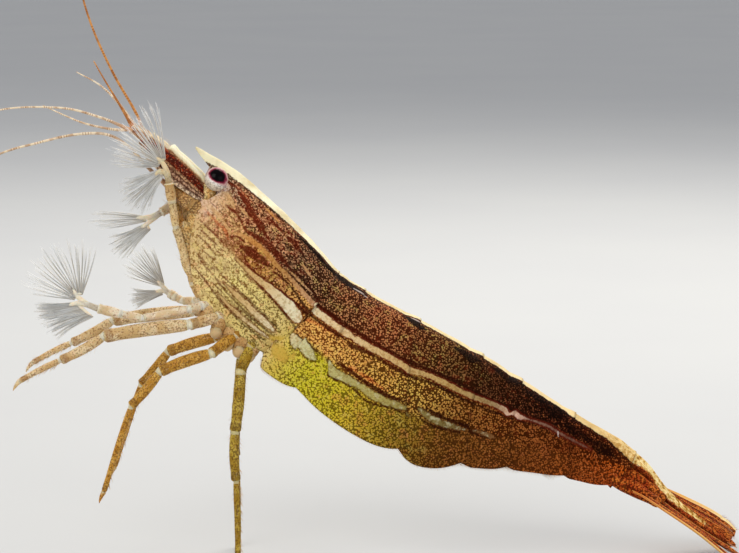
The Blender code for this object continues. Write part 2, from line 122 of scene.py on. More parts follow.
class Finish:
    """A material being made: its colour so far, and coordinates in millimetres for its patterns."""

    def __init__(self, name, **constants):
        self.material = bpy.data.materials.new(name)
        self.material.use_nodes = True
        self.tree = self.material.node_tree
        self.shader = self.tree.nodes["Principled BSDF"]
        for words, value in constants.items():
            self.shader.inputs[words.replace("_", " ").title().replace("Ior", "IOR")].default_value = value
        place = self.add("ShaderNodeTexCoord", {}, {}, "Object")
        self.place = self.add("ShaderNodeVectorMath", {"operation": "SCALE"}, {0: place, "Scale": 1 / MM})

    def add(self, kind, settings, sockets, out=0):
        """A node of this kind: its settings are made first, then its sockets are set or linked."""
        node = self.tree.nodes.new(kind)
        for key, value in settings.items():
            setattr(node, key, value)
        for key, value in sockets.items():
            connect(self.tree, node.inputs[key], value)
        return Wire(self.tree, node.outputs[out])

    def field(self, name):
        """The value painted on the piece's points under this name."""
        return self.add("ShaderNodeAttribute", {"attribute_name": name}, {}, "Fac")

    def ramp(self, value, *stops):
        """Colours along a value; each stop is a position and a colour's red, green and blue."""
        result = self.add("ShaderNodeValToRGB", {}, {0: value})
        elements = result.socket.node.color_ramp.elements
        while len(elements) < len(stops):
            elements.new(1)
        for element, (position, *colour) in zip(elements, stops):
            element.position = position
            element.color = tone(*colour)
        return result

    def mix(self, share, first, second, blend="MIX"):
        """first where share is 0, second where it is 1."""
        settings = {"data_type": "RGBA", "blend_type": blend}
        return self.add("ShaderNodeMix", settings, {0: share, 6: first, 7: second}, 2)

    def shade(self, share, colour, other):
        """colour multiplied by other, as far as share says."""
        return self.mix(share, colour, other, "MULTIPLY")

    def cover(self, share, colour):
        """Lays a colour over what there is so far, as far as share says."""
        self.colour = self.mix(share, self.colour, colour)

    def rise(self, value, low, high):
        """0 below low, 1 above high, smooth between."""
        settings = {"interpolation_type": "SMOOTHSTEP"}
        return self.add("ShaderNodeMapRange", settings, {0: value, 1: low, 2: high})

    def noise(self, size, detail=2, rough=0.5):
        """Cloudy noise from 0 to 1 with features of this size in mm."""
        sockets = {"Vector": self.place, "Scale": 1 / size, "Detail": detail, "Roughness": rough}
        return self.add("ShaderNodeTexNoise", {}, sockets)

    def slanting(self):
        """Noise drawn out into streaks that slant down and back across the flank."""
        along, turn = self.field("along") * BACK_LENGTH, self.field("turn") * FLANK_HEIGHT
        across = (along * 0.88 - turn * 0.48) * 5.5
        lengthwise = (along * 0.48 + turn * 0.88) * 1.3
        spot = self.add("ShaderNodeCombineXYZ", {}, {0: across, 1: lengthwise})
        sockets = {"Vector": spot, "Scale": 1, "Detail": 3, "Roughness": 0.6}
        return self.add("ShaderNodeTexNoise", {}, sockets)

    def cells(self, size):
        """Distance from the middle of the nearest of many cells of this size in mm."""
        sockets = {"Vector": self.place, "Scale": 1 / size, "Randomness": 0.85}
        return self.add("ShaderNodeTexVoronoi", {}, sockets)

    def specks(self, size, cover):
        """A dark net round pale dots, or dark dots on a pale ground where little of it is dark."""
        grain = self.cells(size * 1.45) * 0.7 + self.noise(size * 0.9, 2, 0.6) * 0.3
        return self.rise(grain - 0.47 - (0.5 - cover) * 0.42, -0.05, 0.05)

    def done(self, height, depth, **links):
        """The material, with its colour, relief of this depth in mm and whatever else varies."""
        normal = self.add("ShaderNodeBump", {}, {"Height": height, "Distance": depth * MM})
        for words, value in {"Base Color": self.colour, "Normal": normal, **links}.items():
            connect(self.tree, self.shader.inputs[words], value)
        return self.material


def moist(name, **changes):
    """A finish with the shallow inner glow that all of the animal has, and hardly any shine."""
    constants = {"roughness": 0.42, "specular_ior_level": 0.01, "subsurface_weight": 0.12,
                 "subsurface_radius": (0.9, 0.5, 0.3), "subsurface_scale": 0.7 * MM}
    return Finish(name, **{**constants, **changes})


# ---------------------------------------------------------------- meshes

def catmull(before, start, end, after, t):
    """A place on a smooth curve from start to end, at t from 0 to 1."""
    slope_start = (end - before) / 2
    slope_end = (after - start) / 2
    from_start = start * (2 * t**3 - 3 * t**2 + 1) + slope_start * (t**3 - 2 * t**2 + t)
    return from_start + end * (3 * t**2 - 2 * t**3) + slope_end * (t**3 - t**2)


def smooth_rows(rows, steps):
    """Rows of numbers passed through by one smooth curve, with steps places to each span."""
    rows = np.array(rows, float)
    padded = np.vstack([2 * rows[0] - rows[1], rows, 2 * rows[-1] - rows[-2]])
    result = []
    for i in range(1, len(padded) - 2):
        for step in range(steps):
            result.append(catmull(*padded[i - 1:i + 3], step / steps))
    result.append(rows[-1])
    return np.array(result)


def put(name, data):
    """A new object of this data, in the scene."""
    obj = bpy.data.objects.new(name, data)
    bpy.context.scene.collection.objects.link(obj)
    return obj


def ease(value, low, high):
    """0 below low, 1 above high, smooth between."""
    t = np.clip((np.asarray(value, float) - low) / (high - low), 0, 1)
    return t * t * (3 - 2 * t)


def hump(value, width):
    """1 where the value is 0, fading within about this width."""
    return np.exp(-(value / width)**2)


def unit(vectors):
    """The vectors at length 1."""
    return vectors / np.maximum(np.linalg.norm(vectors, axis=-1, keepdims=True), 1e-9)


class Pile:
    """Points, faces and painted fields that gather until they become one piece."""

    def __init__(self):
        self.points, self.quads, self.tris, self.fields, self.patches = [], [], [], [], []
        self.count = 0

    def add(self, points, quads=(), tris=(), fields=None, patches=None):
        points = np.asarray(points, float).reshape(-1, 3)
        for store, faces, corners in ((self.quads, quads, 4), (self.tris, tris, 3)):
            if len(faces):
                store.append(np.asarray(faces, int).reshape(-1, corners) + self.count)
        self.points.append(points)
        spread = {k: np.broadcast_to(np.asarray(v, float), len(points)) for k, v in (fields or {}).items()}
        self.fields.append(spread)
        self.patches.append(None if patches is None else np.asarray(patches, float).reshape(-1, 2))
        self.count += len(points)

    def keep_above(self, height=0):
        """Lifts whatever is lower than this height up to it."""
        for points in self.points:
            points[:, 2] = np.maximum(points[:, 2], height)

    def piece(self, name, finish, slot, *nodes):
        """The finished object: rides on the root and stands for these solids. The slot is not used."""
        points = (np.concatenate(self.points) - (CENTRE_X, 0, 0)) * MM
        faces = [np.concatenate(store) for store in (self.quads, self.tris) if store]
        corners = np.concatenate([f.ravel() for f in faces])
        sizes = np.concatenate([np.full(len(f), f.shape[1]) for f in faces])
        mesh = bpy.data.meshes.new(name)
        mesh.vertices.add(len(points))
        mesh.vertices.foreach_set("co", points.ravel())
        mesh.loops.add(len(corners))
        mesh.loops.foreach_set("vertex_index", corners)
        mesh.polygons.add(len(sizes))
        mesh.polygons.foreach_set("loop_start", np.concatenate([[0], np.cumsum(sizes)[:-1]]))
        mesh.polygons.foreach_set("use_smooth", np.ones(len(sizes), bool))
        mesh.update(calc_edges=True)
        mesh.validate()
        for key in sorted({k for spread in self.fields for k in spread}):
            values = [spread.get(key, np.zeros(len(p))) for spread, p in zip(self.fields, self.points)]
            layer = mesh.attributes.new(key, "FLOAT", "POINT")
            layer.data.foreach_set("value", np.concatenate(values).astype(np.float32))
        if all(p is not None for p in self.patches):
            layer = mesh.uv_layers.new(name="OFBake")
            layer.data.foreach_set("uv", np.concatenate(self.patches)[corners].astype(np.float32).ravel())
        mesh.materials.append(finish)
        obj = put(name, mesh)
        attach(obj, "root")
        if nodes:
            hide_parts(*nodes)


def on_side(side, *places):
    """Places given for the right side, moved to this side."""
    return [(x, side * y, z) for x, y, z in places]


def grid_quads(rows, columns, wrap=False):
    """Faces of a grid of points; wrap joins the last column to the first."""
    index = np.arange(rows * columns).reshape(rows, columns)
    right = np.roll(index, -1, axis=1)
    if not wrap:
        index, right = index[:, :-1], right[:, :-1]
    return np.stack([index[:-1], right[:-1], right[1:], index[1:]], axis=-1).reshape(-1, 4)


def grid_normals(points):
    """Which way a grid of points faces, at each point."""
    down, across = np.gradient(points, axis=0), np.gradient(points, axis=1)
    return unit(np.cross(across, down))


def flip(quads):
    """The same faces, turned the other way round."""
    return quads[:, ::-1]


def add_shell(pile, points, lift, thickness, fields):
    """A thin curved plate: its outer face is the grid of points raised by lift; it thins at its rims."""
    rows, columns = points.shape[:2]
    normals = grid_normals(points)
    middle = points.mean(axis=1, keepdims=True)
    if ((points - middle) * normals).sum() < 0:
        normals = -normals
    outer = points + normals * lift[..., None]
    down, across = np.meshgrid(np.arange(rows), np.arange(columns), indexing="ij")
    rim = np.minimum(np.minimum(down, rows - 1 - down), np.minimum(across, columns - 1 - across))
    inner = outer - normals * (thickness * (0.3 + 0.7 * np.clip(rim / 3, 0, 1)))[..., None]
    quads = grid_quads(rows, columns)
    outward = np.cross(outer[0, 1] - outer[0, 0], outer[1, 0] - outer[0, 0]) @ normals[0, 0]
    both = rows * columns
    index = np.arange(both).reshape(rows, columns)
    loop = np.concatenate([index[0], index[1:, -1], index[-1, -2::-1], index[-2:0:-1, 0]])
    after = np.roll(loop, -1)
    sides = np.stack([after, loop, loop + both, after + both], axis=-1)
    faces = np.concatenate([quads, flip(quads) + both, sides])
    if outward < 0:
        faces = flip(faces)
    u, v = down / (rows - 1) * 0.98 + 0.01, across / (columns - 1) * 0.47
    patches = np.concatenate([np.stack([u, v + 0.01], -1).reshape(-1, 2),
                              np.stack([u, v + 0.51], -1).reshape(-1, 2)])
    doubled = {k: np.concatenate([v.ravel(), v.ravel()]) for k, v in fields.items()}
    pile.add(np.concatenate([outer.reshape(-1, 3), inner.reshape(-1, 3)]), faces, fields=doubled,
             patches=patches)


def add_closed(pile, rings, ends, fields):
    """A closed skin over rings of points, with one more point at each end."""
    count, sides = rings.shape[:2]
    first = np.arange(sides)
    after = (first + 1) % sides
    row = (count - 1) * sides
    caps = [np.stack([np.full(sides, count * sides), first, after], -1),
            np.stack([np.full(sides, count * sides + 1), after + row, first + row], -1)]
    quads = flip(grid_quads(count, sides, wrap=True))
    pile.add(np.concatenate([rings.reshape(-1, 3), ends]), quads, np.concatenate(caps), fields)


def add_tube(pile, path, wide, thick, sides=12, flat=(0, 1, 0), **fields):
    """A closed bar along a path; thick lies along flat and wide across it. Returns its rings of points."""
    path = np.asarray(path, float)
    along = unit(np.gradient(path, axis=0))
    across = unit(np.cross(along, np.array(flat)))
    level = np.cross(across, along)
    angle = 2 * np.pi * np.arange(sides) / sides
    wide, thick = (np.broadcast_to(np.asarray(a, float), len(path))[:, None, None] for a in (wide, thick))
    rings = path[:, None] + across[:, None] * wide * np.cos(angle)[:, None]
    rings = rings + level[:, None] * thick * np.sin(angle)[:, None]
    upward = 1 if across[:, 2].mean() > 0 else -1
    painted = {"top": np.append(np.tile(upward * np.cos(angle), len(path)), [0, 0])}
    for key, value in fields.items():
        value = np.asarray(value, float)
        value = np.repeat(value, sides) if value.ndim == 1 else value.ravel()
        painted[key] = np.append(value, [value[0], value[-1]])
    add_closed(pile, rings, path[[0, -1]], painted)
    return rings


def add_bristles(pile, paths, radii, roots, shade):
    """Tapered bristles: paths of points, a radius at each, and each root's place on the unwrapped skin."""
    count, rows = paths.shape[:2]
    sides = 3
    along = unit(np.gradient(paths, axis=1))
    across = unit(np.cross(along, unit(np.array([0.31, 0.83, 0.46]))))
    level = np.cross(across, along)
    angle = 2 * np.pi * np.arange(sides) / sides
    spin = np.cos(angle)[:, None] * across[:, :, None] + np.sin(angle)[:, None] * level[:, :, None]
    points = paths[:, :, None] + spin * radii[:, :, None, None]
    index = np.arange(count * rows * sides).reshape(count, rows, sides)
    right = np.roll(index, -1, axis=2)
    quads = np.stack([index[:, :-1], index[:, 1:], right[:, 1:], right[:, :-1]], axis=-1)
    caps = np.concatenate([index[:, 0], index[:, -1, ::-1]])
    share = np.broadcast_to(np.linspace(0, 1, rows)[None, :, None], index.shape)
    turn = np.broadcast_to((np.arange(sides) / sides)[None, None, :], index.shape)
    patches = roots[:, None, None, :] + BRISTLE_PATCH * np.stack([share, turn], axis=-1)
    fields = {"length": share.ravel(), "shade": np.repeat(shade, rows * sides)}
    pile.add(points, quads, caps, fields, patches)


# ---------------------------------------------------------------- the body's form

class Back:
    """The line of the back: place, tilt, depth and half width of the body at any distance along it."""

    def __init__(self, stations):
        rows = []
        last = len(stations) - 2
        for i in range(last + 1):
            four = [np.array(stations[j]) for j in (max(i - 1, 0), i, i + 1, min(i + 2, last + 1))]
            for t in np.arange(0, 1, 0.02):
                row = catmull(*four, t)
                row[0] = four[1][0] + (four[2][0] - four[1][0]) * t
                rows.append(row)
        rows.append(np.array(stations[-1]))
        start, end = rows[0] - rows[1], rows[-1] - rows[-2]
        for step in (start, end):
            step[3:] = 0
        reach = 4
        self.rows = np.array([rows[0] + start * reach / -start[0], *rows, rows[-1] + end * reach / end[0]])

    def __call__(self, s):
        return [np.interp(s, self.rows[:, 0], self.rows[:, i]) for i in range(1, 6)]

    def place(self, s, fall, across):
        """Points at a share fall of the depth below the back, and across mm to the right."""
        x, z, tilt, depth, _ = self(s)
        tilt = np.radians(tilt)
        return np.stack([x - np.sin(tilt) * depth * fall, across + 0 * x, z - np.cos(tilt) * depth * fall],
                        axis=-1)


HEAD, TAIL = Back(HEAD_STATIONS), Back(TAIL_STATIONS)


def profile(turn, tuck, edge):
    """Share of the depth and of the half width, for turn 0 at the back and 1 at the lower edge."""
    angle = np.minimum(turn / SHOULDER_TURN, 1) * np.pi / 2
    low = np.clip((turn - SHOULDER_TURN) / (1 - SHOULDER_TURN), 0, 1)
    fall = SHOULDER * (1 - np.cos(angle)) + (edge - SHOULDER) * low
    return fall, np.where(low > 0, 1 - tuck * low**2, np.sin(angle))


def joint_at(index, fall):
    """Distance along the back at which a joint of the tail lies, at a share fall of the depth."""
    s, sweep = JOINTS[index]
    return s + sweep * np.maximum(fall, 0)**SWEEP_POWER


def carapace_front(fall):
    """Front edge of the carapace: rostrum, orbit, spine below the eye, then the cheek."""
    rostrum = 3.6 * (np.clip(fall, 0, 0.1) / 0.1)**0.85
    orbit = 1.6 * ease(fall, 0.1, 0.16) - 0.9 * np.clip((fall - 0.16) / 0.18, 0, 1)
    cheek = 5.6 * (np.maximum(fall - 0.34, 0) / 0.66)**1.8
    spine = 0.75 * np.exp(-np.abs((fall - 0.335) / 0.016)**1.5)
    return rostrum + orbit + cheek - spine


# ---------------------------------------------------------------- the markings

# Each painted line is a row of knots: distance along the back, turn round the flank, half width in mm.
CREAM_LINES = (
    ((20, 0.475, 0.3), (22, 0.48, 0.35), (24.2, 0.48, 0.31), (24.9, 0.486, 0.16), (25.3, 0.48, 0.32),
     (27, 0.48, 0.3), (29, 0.475, 0.32), (31, 0.48, 0.27), (31.5, 0.485, 0.34), (33, 0.46, 0.26),
     (35, 0.45, 0.26), (38, 0.45, 0.25), (40, 0.445, 0.23), (42, 0.45, 0.24), (42.8, 0.475, 0.2),
     (43.3, 0.445, 0.26), (44.1, 0.46, 0.25), (44.8, 0.45, 0.12), (47, 0.435, 0.12), (48.5, 0.455, 0.13),
     (50.4, 0.475, 0.1), (52, 0.49, 0.02)),
    ((10.6, 0.625, 0.02), (12.5, 0.628, 0.2), (14, 0.618, 0.26), (15, 0.612, 0.34), (16, 0.61, 0.44),
     (17, 0.615, 0.54), (18, 0.62, 0.62), (18.9, 0.635, 0.62), (19.3, 0.64, 0.4)),
    ((11.2, 0.8, 0.02), (12.5, 0.8, 0.2), (14, 0.797, 0.28), (15.5, 0.8, 0.29), (17, 0.81, 0.28),
     (17.9, 0.818, 0.18)),
    ((11.5, 0.88, 0), (13, 0.885, 0.14), (15, 0.885, 0.17), (17, 0.887, 0.12), (18, 0.885, 0.05)),
)
# Greener patches low on the tail's side plates.
SAGE_LINES = (
    ((20, 0.7, 0.3), (20.8, 0.715, 0.55), (21.7, 0.73, 0.6), (22.5, 0.745, 0.5), (23, 0.75, 0.2)),
    ((24, 0.695, 0.1), (24.8, 0.735, 0.46), (25.6, 0.74, 0.44), (26.5, 0.73, 0.4), (28, 0.722, 0.34),
     (29.5, 0.728, 0.42), (31, 0.73, 0.38), (32.4, 0.725, 0.3), (33.8, 0.735, 0.12)),
    ((34.2, 0.665, 0.1), (35.2, 0.68, 0.3), (36.4, 0.685, 0.34), (38, 0.685, 0.3), (39.6, 0.7, 0.08)),
    ((40.4, 0.68, 0.02), (41.6, 0.685, 0.14), (42.7, 0.7, 0.18), (43, 0.705, 0.04)),
)
TAN_LINES = (
    ((3, 0.455, 0.5), (4.2, 0.47, 0.5), (5.6, 0.48, 0.36), (7, 0.492, 0.18), (8.4, 0.525, 0.12),
     (9, 0.5, 0.18), (10, 0.478, 0.28), (11, 0.468, 0.28), (12, 0.458, 0.24), (14, 0.465, 0.24),
     (16, 0.462, 0.2), (18, 0.475, 0.25), (20.2, 0.48, 0.26)),
    ((4.4, 0.33, 0.02), (5.4, 0.325, 0.26), (6.4, 0.345, 0.28), (7.2, 0.37, 0.1)),
    ((7.3, 0.34, 0.02), (8.2, 0.348, 0.14), (9.3, 0.35, 0.07)),
    ((4.3, 0.4, 0.05), (5.6, 0.405, 0.15), (7, 0.42, 0.05)),
    ((9.6, 0.19, 0.02), (10.4, 0.19, 0.2), (11.6, 0.2, 0.12)),
    ((12.6, 0.19, 0.04), (13, 0.25, 0.14), (13.2, 0.33, 0.05)),
    ((16, 0.315, 0.03), (16.6, 0.33, 0.15), (17.6, 0.345, 0.1)),
    ((15.4, 0.43, 0.03), (17, 0.428, 0.1), (18.6, 0.43, 0.06)),
)
DARK_LINES = (
    ((20.4, 0.435, 0.14), (23, 0.435, 0.22), (28, 0.44, 0.2), (30, 0.44, 0.2), (32, 0.43, 0.2),
     (34, 0.415, 0.22), (36, 0.405, 0.2), (38, 0.41, 0.15), (41, 0.42, 0.15), (47, 0.4, 0.1)),
    ((20.3, 0.52, 0.15), (23, 0.522, 0.18), (24.6, 0.522, 0.08), (24.9, 0.535, 0.25), (26, 0.525, 0.24),
     (28, 0.512, 0.18), (31, 0.518, 0.22), (33, 0.5, 0.15), (35, 0.485, 0.15), (42, 0.5, 0.12),
     (46, 0.485, 0.08)),
    ((20.5, 0.675, 0.12), (22, 0.69, 0.15), (23.3, 0.7, 0.08)),
    ((24.8, 0.675, 0.12), (26.5, 0.675, 0.2), (28, 0.682, 0.22), (30, 0.69, 0.25), (31.5, 0.69, 0.22),
     (33.2, 0.68, 0.1)),
    ((34.8, 0.64, 0.1), (36, 0.65, 0.2), (37.5, 0.65, 0.2), (39, 0.66, 0.2), (40.5, 0.69, 0.15),
     (42, 0.72, 0.08)),
    ((24.8, 0.78, 0.06), (26, 0.77, 0.12), (27.5, 0.755, 0.1), (29.3, 0.78, 0.15), (30.5, 0.77, 0.15),
     (32, 0.755, 0.12), (33.5, 0.76, 0.08)),
    ((34.8, 0.71, 0.08), (36.3, 0.725, 0.15), (38, 0.715, 0.12), (39.5, 0.73, 0.08)),
    ((4.2, 0.235, 0.1), (5.2, 0.225, 0.34), (6.2, 0.22, 0.2)),
    ((6.4, 0.235, 0.12), (7.2, 0.265, 0.5), (8.2, 0.285, 0.56), (9, 0.31, 0.6), (10, 0.335, 0.42),
     (11, 0.355, 0.25), (12, 0.375, 0.12)),
    ((10.4, 0.245, 0.1), (11.4, 0.245, 0.26), (12.4, 0.25, 0.16)),
    ((13.3, 0.255, 0.12), (14.1, 0.24, 0.46), (14.9, 0.25, 0.34), (15.8, 0.26, 0.1)),
    ((6.4, 0.405, 0.08), (7.5, 0.395, 0.14), (8.6, 0.415, 0.14), (9.5, 0.445, 0.18), (10.4, 0.43, 0.24),
     (12, 0.41, 0.3), (13, 0.41, 0.34), (14, 0.41, 0.3), (15.5, 0.41, 0.18), (17, 0.405, 0.14),
     (20, 0.44, 0.16)),
    ((3.4, 0.44, 0.03), (5, 0.455, 0.08), (6.6, 0.462, 0.06)),
    ((15, 0.445, 0.04), (16.5, 0.445, 0.08), (18.4, 0.452, 0.06)),
    ((8.4, 0.575, 0.06), (8.8, 0.54, 0.12), (9.4, 0.51, 0.14), (10.2, 0.51, 0.1)),
    ((10.2, 0.545, 0.12), (10.8, 0.532, 0.42), (11.6, 0.525, 0.56), (12.4, 0.515, 0.52), (13.2, 0.505, 0.34),
     (14, 0.5, 0.12)),
    ((14.3, 0.525, 0.08), (14.9, 0.505, 0.14), (16, 0.5, 0.13), (17.2, 0.508, 0.12), (18.2, 0.53, 0.14),
     (19, 0.54, 0.2), (20, 0.55, 0.28)),
    ((10.6, 0.575, 0.05), (12, 0.6, 0.15), (13, 0.603, 0.13), (14, 0.592, 0.12), (15, 0.583, 0.12),
     (16, 0.576, 0.12), (17, 0.572, 0.13), (18, 0.568, 0.18), (20, 0.575, 0.24)),
    ((11, 0.658, 0.06), (12.5, 0.656, 0.1), (14, 0.65, 0.1), (15.5, 0.648, 0.11), (17, 0.66, 0.14),
     (18.2, 0.68, 0.14), (20, 0.71, 0.1)),
    ((8, 0.665, 0.03), (9.2, 0.678, 0.08), (10.6, 0.675, 0.06), (12, 0.68, 0.03)),
    ((8.5, 0.765, 0.07), (12, 0.772, 0.13), (14, 0.765, 0.14), (16, 0.77, 0.14), (18.3, 0.788, 0.11)),
    ((8, 0.8, 0.07), (10, 0.815, 0.12), (12, 0.832, 0.14), (15, 0.838, 0.14), (18.3, 0.852, 0.12)),
    ((10, 0.852, 0.06), (12, 0.858, 0.1), (14.5, 0.86, 0.11), (16.5, 0.862, 0.08)),
    ((7.5, 0.855, 0.07), (9, 0.87, 0.12), (12, 0.905, 0.14), (15, 0.912, 0.14), (18, 0.92, 0.08)),
    ((5.4, 0.595, 0.07), (7, 0.6, 0.11), (8.6, 0.608, 0.09)),
    ((5.8, 0.64, 0.04), (7.2, 0.645, 0.09), (9, 0.65, 0.05)),
    ((6, 0.68, 0.06), (7.4, 0.685, 0.1), (8.6, 0.7, 0.07)),
    ((6.4, 0.73, 0.05), (8.4, 0.735, 0.1), (10.4, 0.73, 0.06)),
    ((6.8, 0.775, 0.05), (8.2, 0.785, 0.1), (9.6, 0.785, 0.06)),
    ((11.5, 0.715, 0.05), (13, 0.72, 0.09), (15, 0.72, 0.08), (16.5, 0.73, 0.05)),
)
# Rusty streaks behind the eye and beside the lines.
RUST_LINES = (
    ((5, 0.515, 0.1), (6.2, 0.528, 0.18), (7.4, 0.535, 0.16), (8.2, 0.545, 0.26), (8.7, 0.57, 0.1)),
    ((18.2, 0.55, 0.1), (19.2, 0.555, 0.26), (20.3, 0.56, 0.22), (22, 0.53, 0.2), (23.6, 0.53, 0.12)),
    ((6, 0.2, 0.1), (7, 0.225, 0.3), (8.4, 0.24, 0.18)),
    ((26, 0.655, 0.12), (28.4, 0.655, 0.22), (30.2, 0.665, 0.14)),
    ((28, 0.505, 0.1), (29.4, 0.51, 0.22), (30.4, 0.52, 0.12)),
)
BLACK_PATCHES = (
    ((9.4, 0.16, 0.08), (11, 0.152, 0.18), (12.6, 0.152, 0.08)),
    ((13.6, 0.155, 0.1), (15, 0.14, 0.3), (17, 0.135, 0.36), (18.6, 0.125, 0.36), (20, 0.1, 0.4)),
    ((20.2, 0.1, 0.44), (21.8, 0.105, 0.5), (23.2, 0.115, 0.42), (23.9, 0.11, 0.12)),
    ((28.6, 0.1, 0.14), (29.4, 0.12, 0.52), (30.4, 0.135, 0.42), (31, 0.13, 0.12)),
    ((34.2, 0.16, 0.1), (35.4, 0.16, 0.48), (36.6, 0.17, 0.62), (37.4, 0.16, 0.24)),
    ((39, 0.14, 0.12), (40.5, 0.15, 0.52), (41.8, 0.15, 0.64), (42.5, 0.14, 0.16)),
    ((43.4, 0.17, 0.2), (45, 0.19, 0.6), (46.6, 0.21, 0.95), (47.8, 0.21, 0.8), (48.4, 0.18, 0.2)),
    ((48.6, 0.32, 0.12), (49.4, 0.35, 0.5), (50.6, 0.36, 0.32), (51.6, 0.38, 0.3), (53, 0.4, 0.7),
     (54.2, 0.42, 0.4), (54.8, 0.44, 0.1)),
)
# The smooth corner of the carapace, low at the back.
GOLD_PATCHES = (((18.2, 0.87, 0.2), (19.2, 0.85, 0.6), (20.4, 0.84, 0.7), (21.4, 0.855, 0.4)),)
SILVER_DASHES = (
    ((22.5, 0.125, 0.06), (23.2, 0.125, 0.12), (23.9, 0.125, 0.06)),
    ((29.1, 0.08, 0.06), (29.7, 0.085, 0.12), (30.2, 0.09, 0.06)),
    ((48.2, 0.44, 0.04), (48.4, 0.465, 0.16), (48.6, 0.5, 0.04)),
)
MARKINGS = {"cream": CREAM_LINES, "sage": SAGE_LINES, "tan": TAN_LINES, "dark": DARK_LINES,
            "rust": RUST_LINES, "black": BLACK_PATCHES, "gold": GOLD_PATCHES, "silver": SILVER_DASHES}
# Half width of the pale stripe down the middle of the back.
BACK_STRIPE = ((0, 0.5), (1.5, 0.6), (3, 0.85), (4, 1.05), (5, 1.17), (8, 1.44), (12, 1.47), (14, 1.32),
               (16, 1.2), (18, 1), (19.8, 0.62), (23.4, 0.56), (24.2, 0.82), (28.3, 0.86), (29, 0.62),
               (30.1, 0.6), (30.7, 0.84), (36, 0.82), (37.2, 0.74), (37.8, 0.86), (42.2, 0.84), (42.9, 0.92),
               (48, 0.88), (48.6, 1.25), (53, 1.34), (54.5, 1.72), (57, 2.1))
# The flank has three bands, parted by two lines: distance along the back and turn.
UPPER_LINE = ((0, 0.28), (6, 0.3), (8, 0.38), (10, 0.44), (20, 0.47), (30, 0.475), (40, 0.45), (57, 0.5))
LOWER_LINE = ((0, 0.55), (10, 0.62), (20, 0.68), (30, 0.72), (40, 0.7), (57, 0.66))
# Share of dark specks in each band, by distance along the back.
UPPER_COVER = ((5, 0.55), (11, 0.42), (16, 0.68), (22, 0.55), (27, 0.5), (33, 0.55), (42, 0.62), (57, 0.6))
MIDDLE_COVER = ((5, 0.15), (12, 0.34), (18, 0.32), (24, 0.4), (33, 0.46), (42, 0.52), (57, 0.45))
LOWER_COVER = ((5, 0.02), (12, 0.06), (18, 0.12), (23, 0.26), (28, 0.34), (36, 0.44), (45, 0.5), (57, 0.4))


def inside_lines(lines, s, turn, reach):
    """How far inside the nearest painted line each place is, in mm; negative outside all of them."""
    best = np.full(s.shape, -9)
    for knots in lines:
        rows = smooth_rows(knots, 6)
        middle, half = (np.interp(s, rows[:, 0], rows[:, i]) for i in (1, 2))
        beyond = np.maximum(np.maximum(rows[0, 0] - s, s - rows[-1, 0]), 0)
        best = np.maximum(best, half - np.hypot((turn - middle) * reach, beyond))
    return best


def along_table(table, s):
    """The table's second column, read off at s in its first."""
    table = np.array(table)
    return np.interp(s, table[:, 0], table[:, 1])


def flank_fields(points, s, turn):
    """The painted fields of a shell plate, from each point's distance along the back and turn."""
    away = np.abs(turn)
    step = np.maximum(np.abs(np.gradient(turn, axis=1)), 1e-4)
    reach = np.clip(np.linalg.norm(np.gradient(points, axis=1), axis=-1) / step, 3, 30)
    middle = ease((away - along_table(UPPER_LINE, s)) * reach, -0.3, 0.5)
    low = ease((away - along_table(LOWER_LINE, s)) * reach, -0.5, 0.5)
    cover = along_table(UPPER_COVER, s) * (1 - middle) + along_table(MIDDLE_COVER, s) * middle
    return {
        "along": s / BACK_LENGTH,
        "middle": middle,
        "low": low,
        "cover": cover * (1 - low) + along_table(LOWER_COVER, s) * low,
        "stripe": along_table(BACK_STRIPE, s) - np.abs(points[..., 1]) * 1.02 - 9 * ease(away, 0.35, 0.6),
        "turn": away,
        **{name: inside_lines(lines, s, away, reach) for name, lines in MARKINGS.items()},
    }


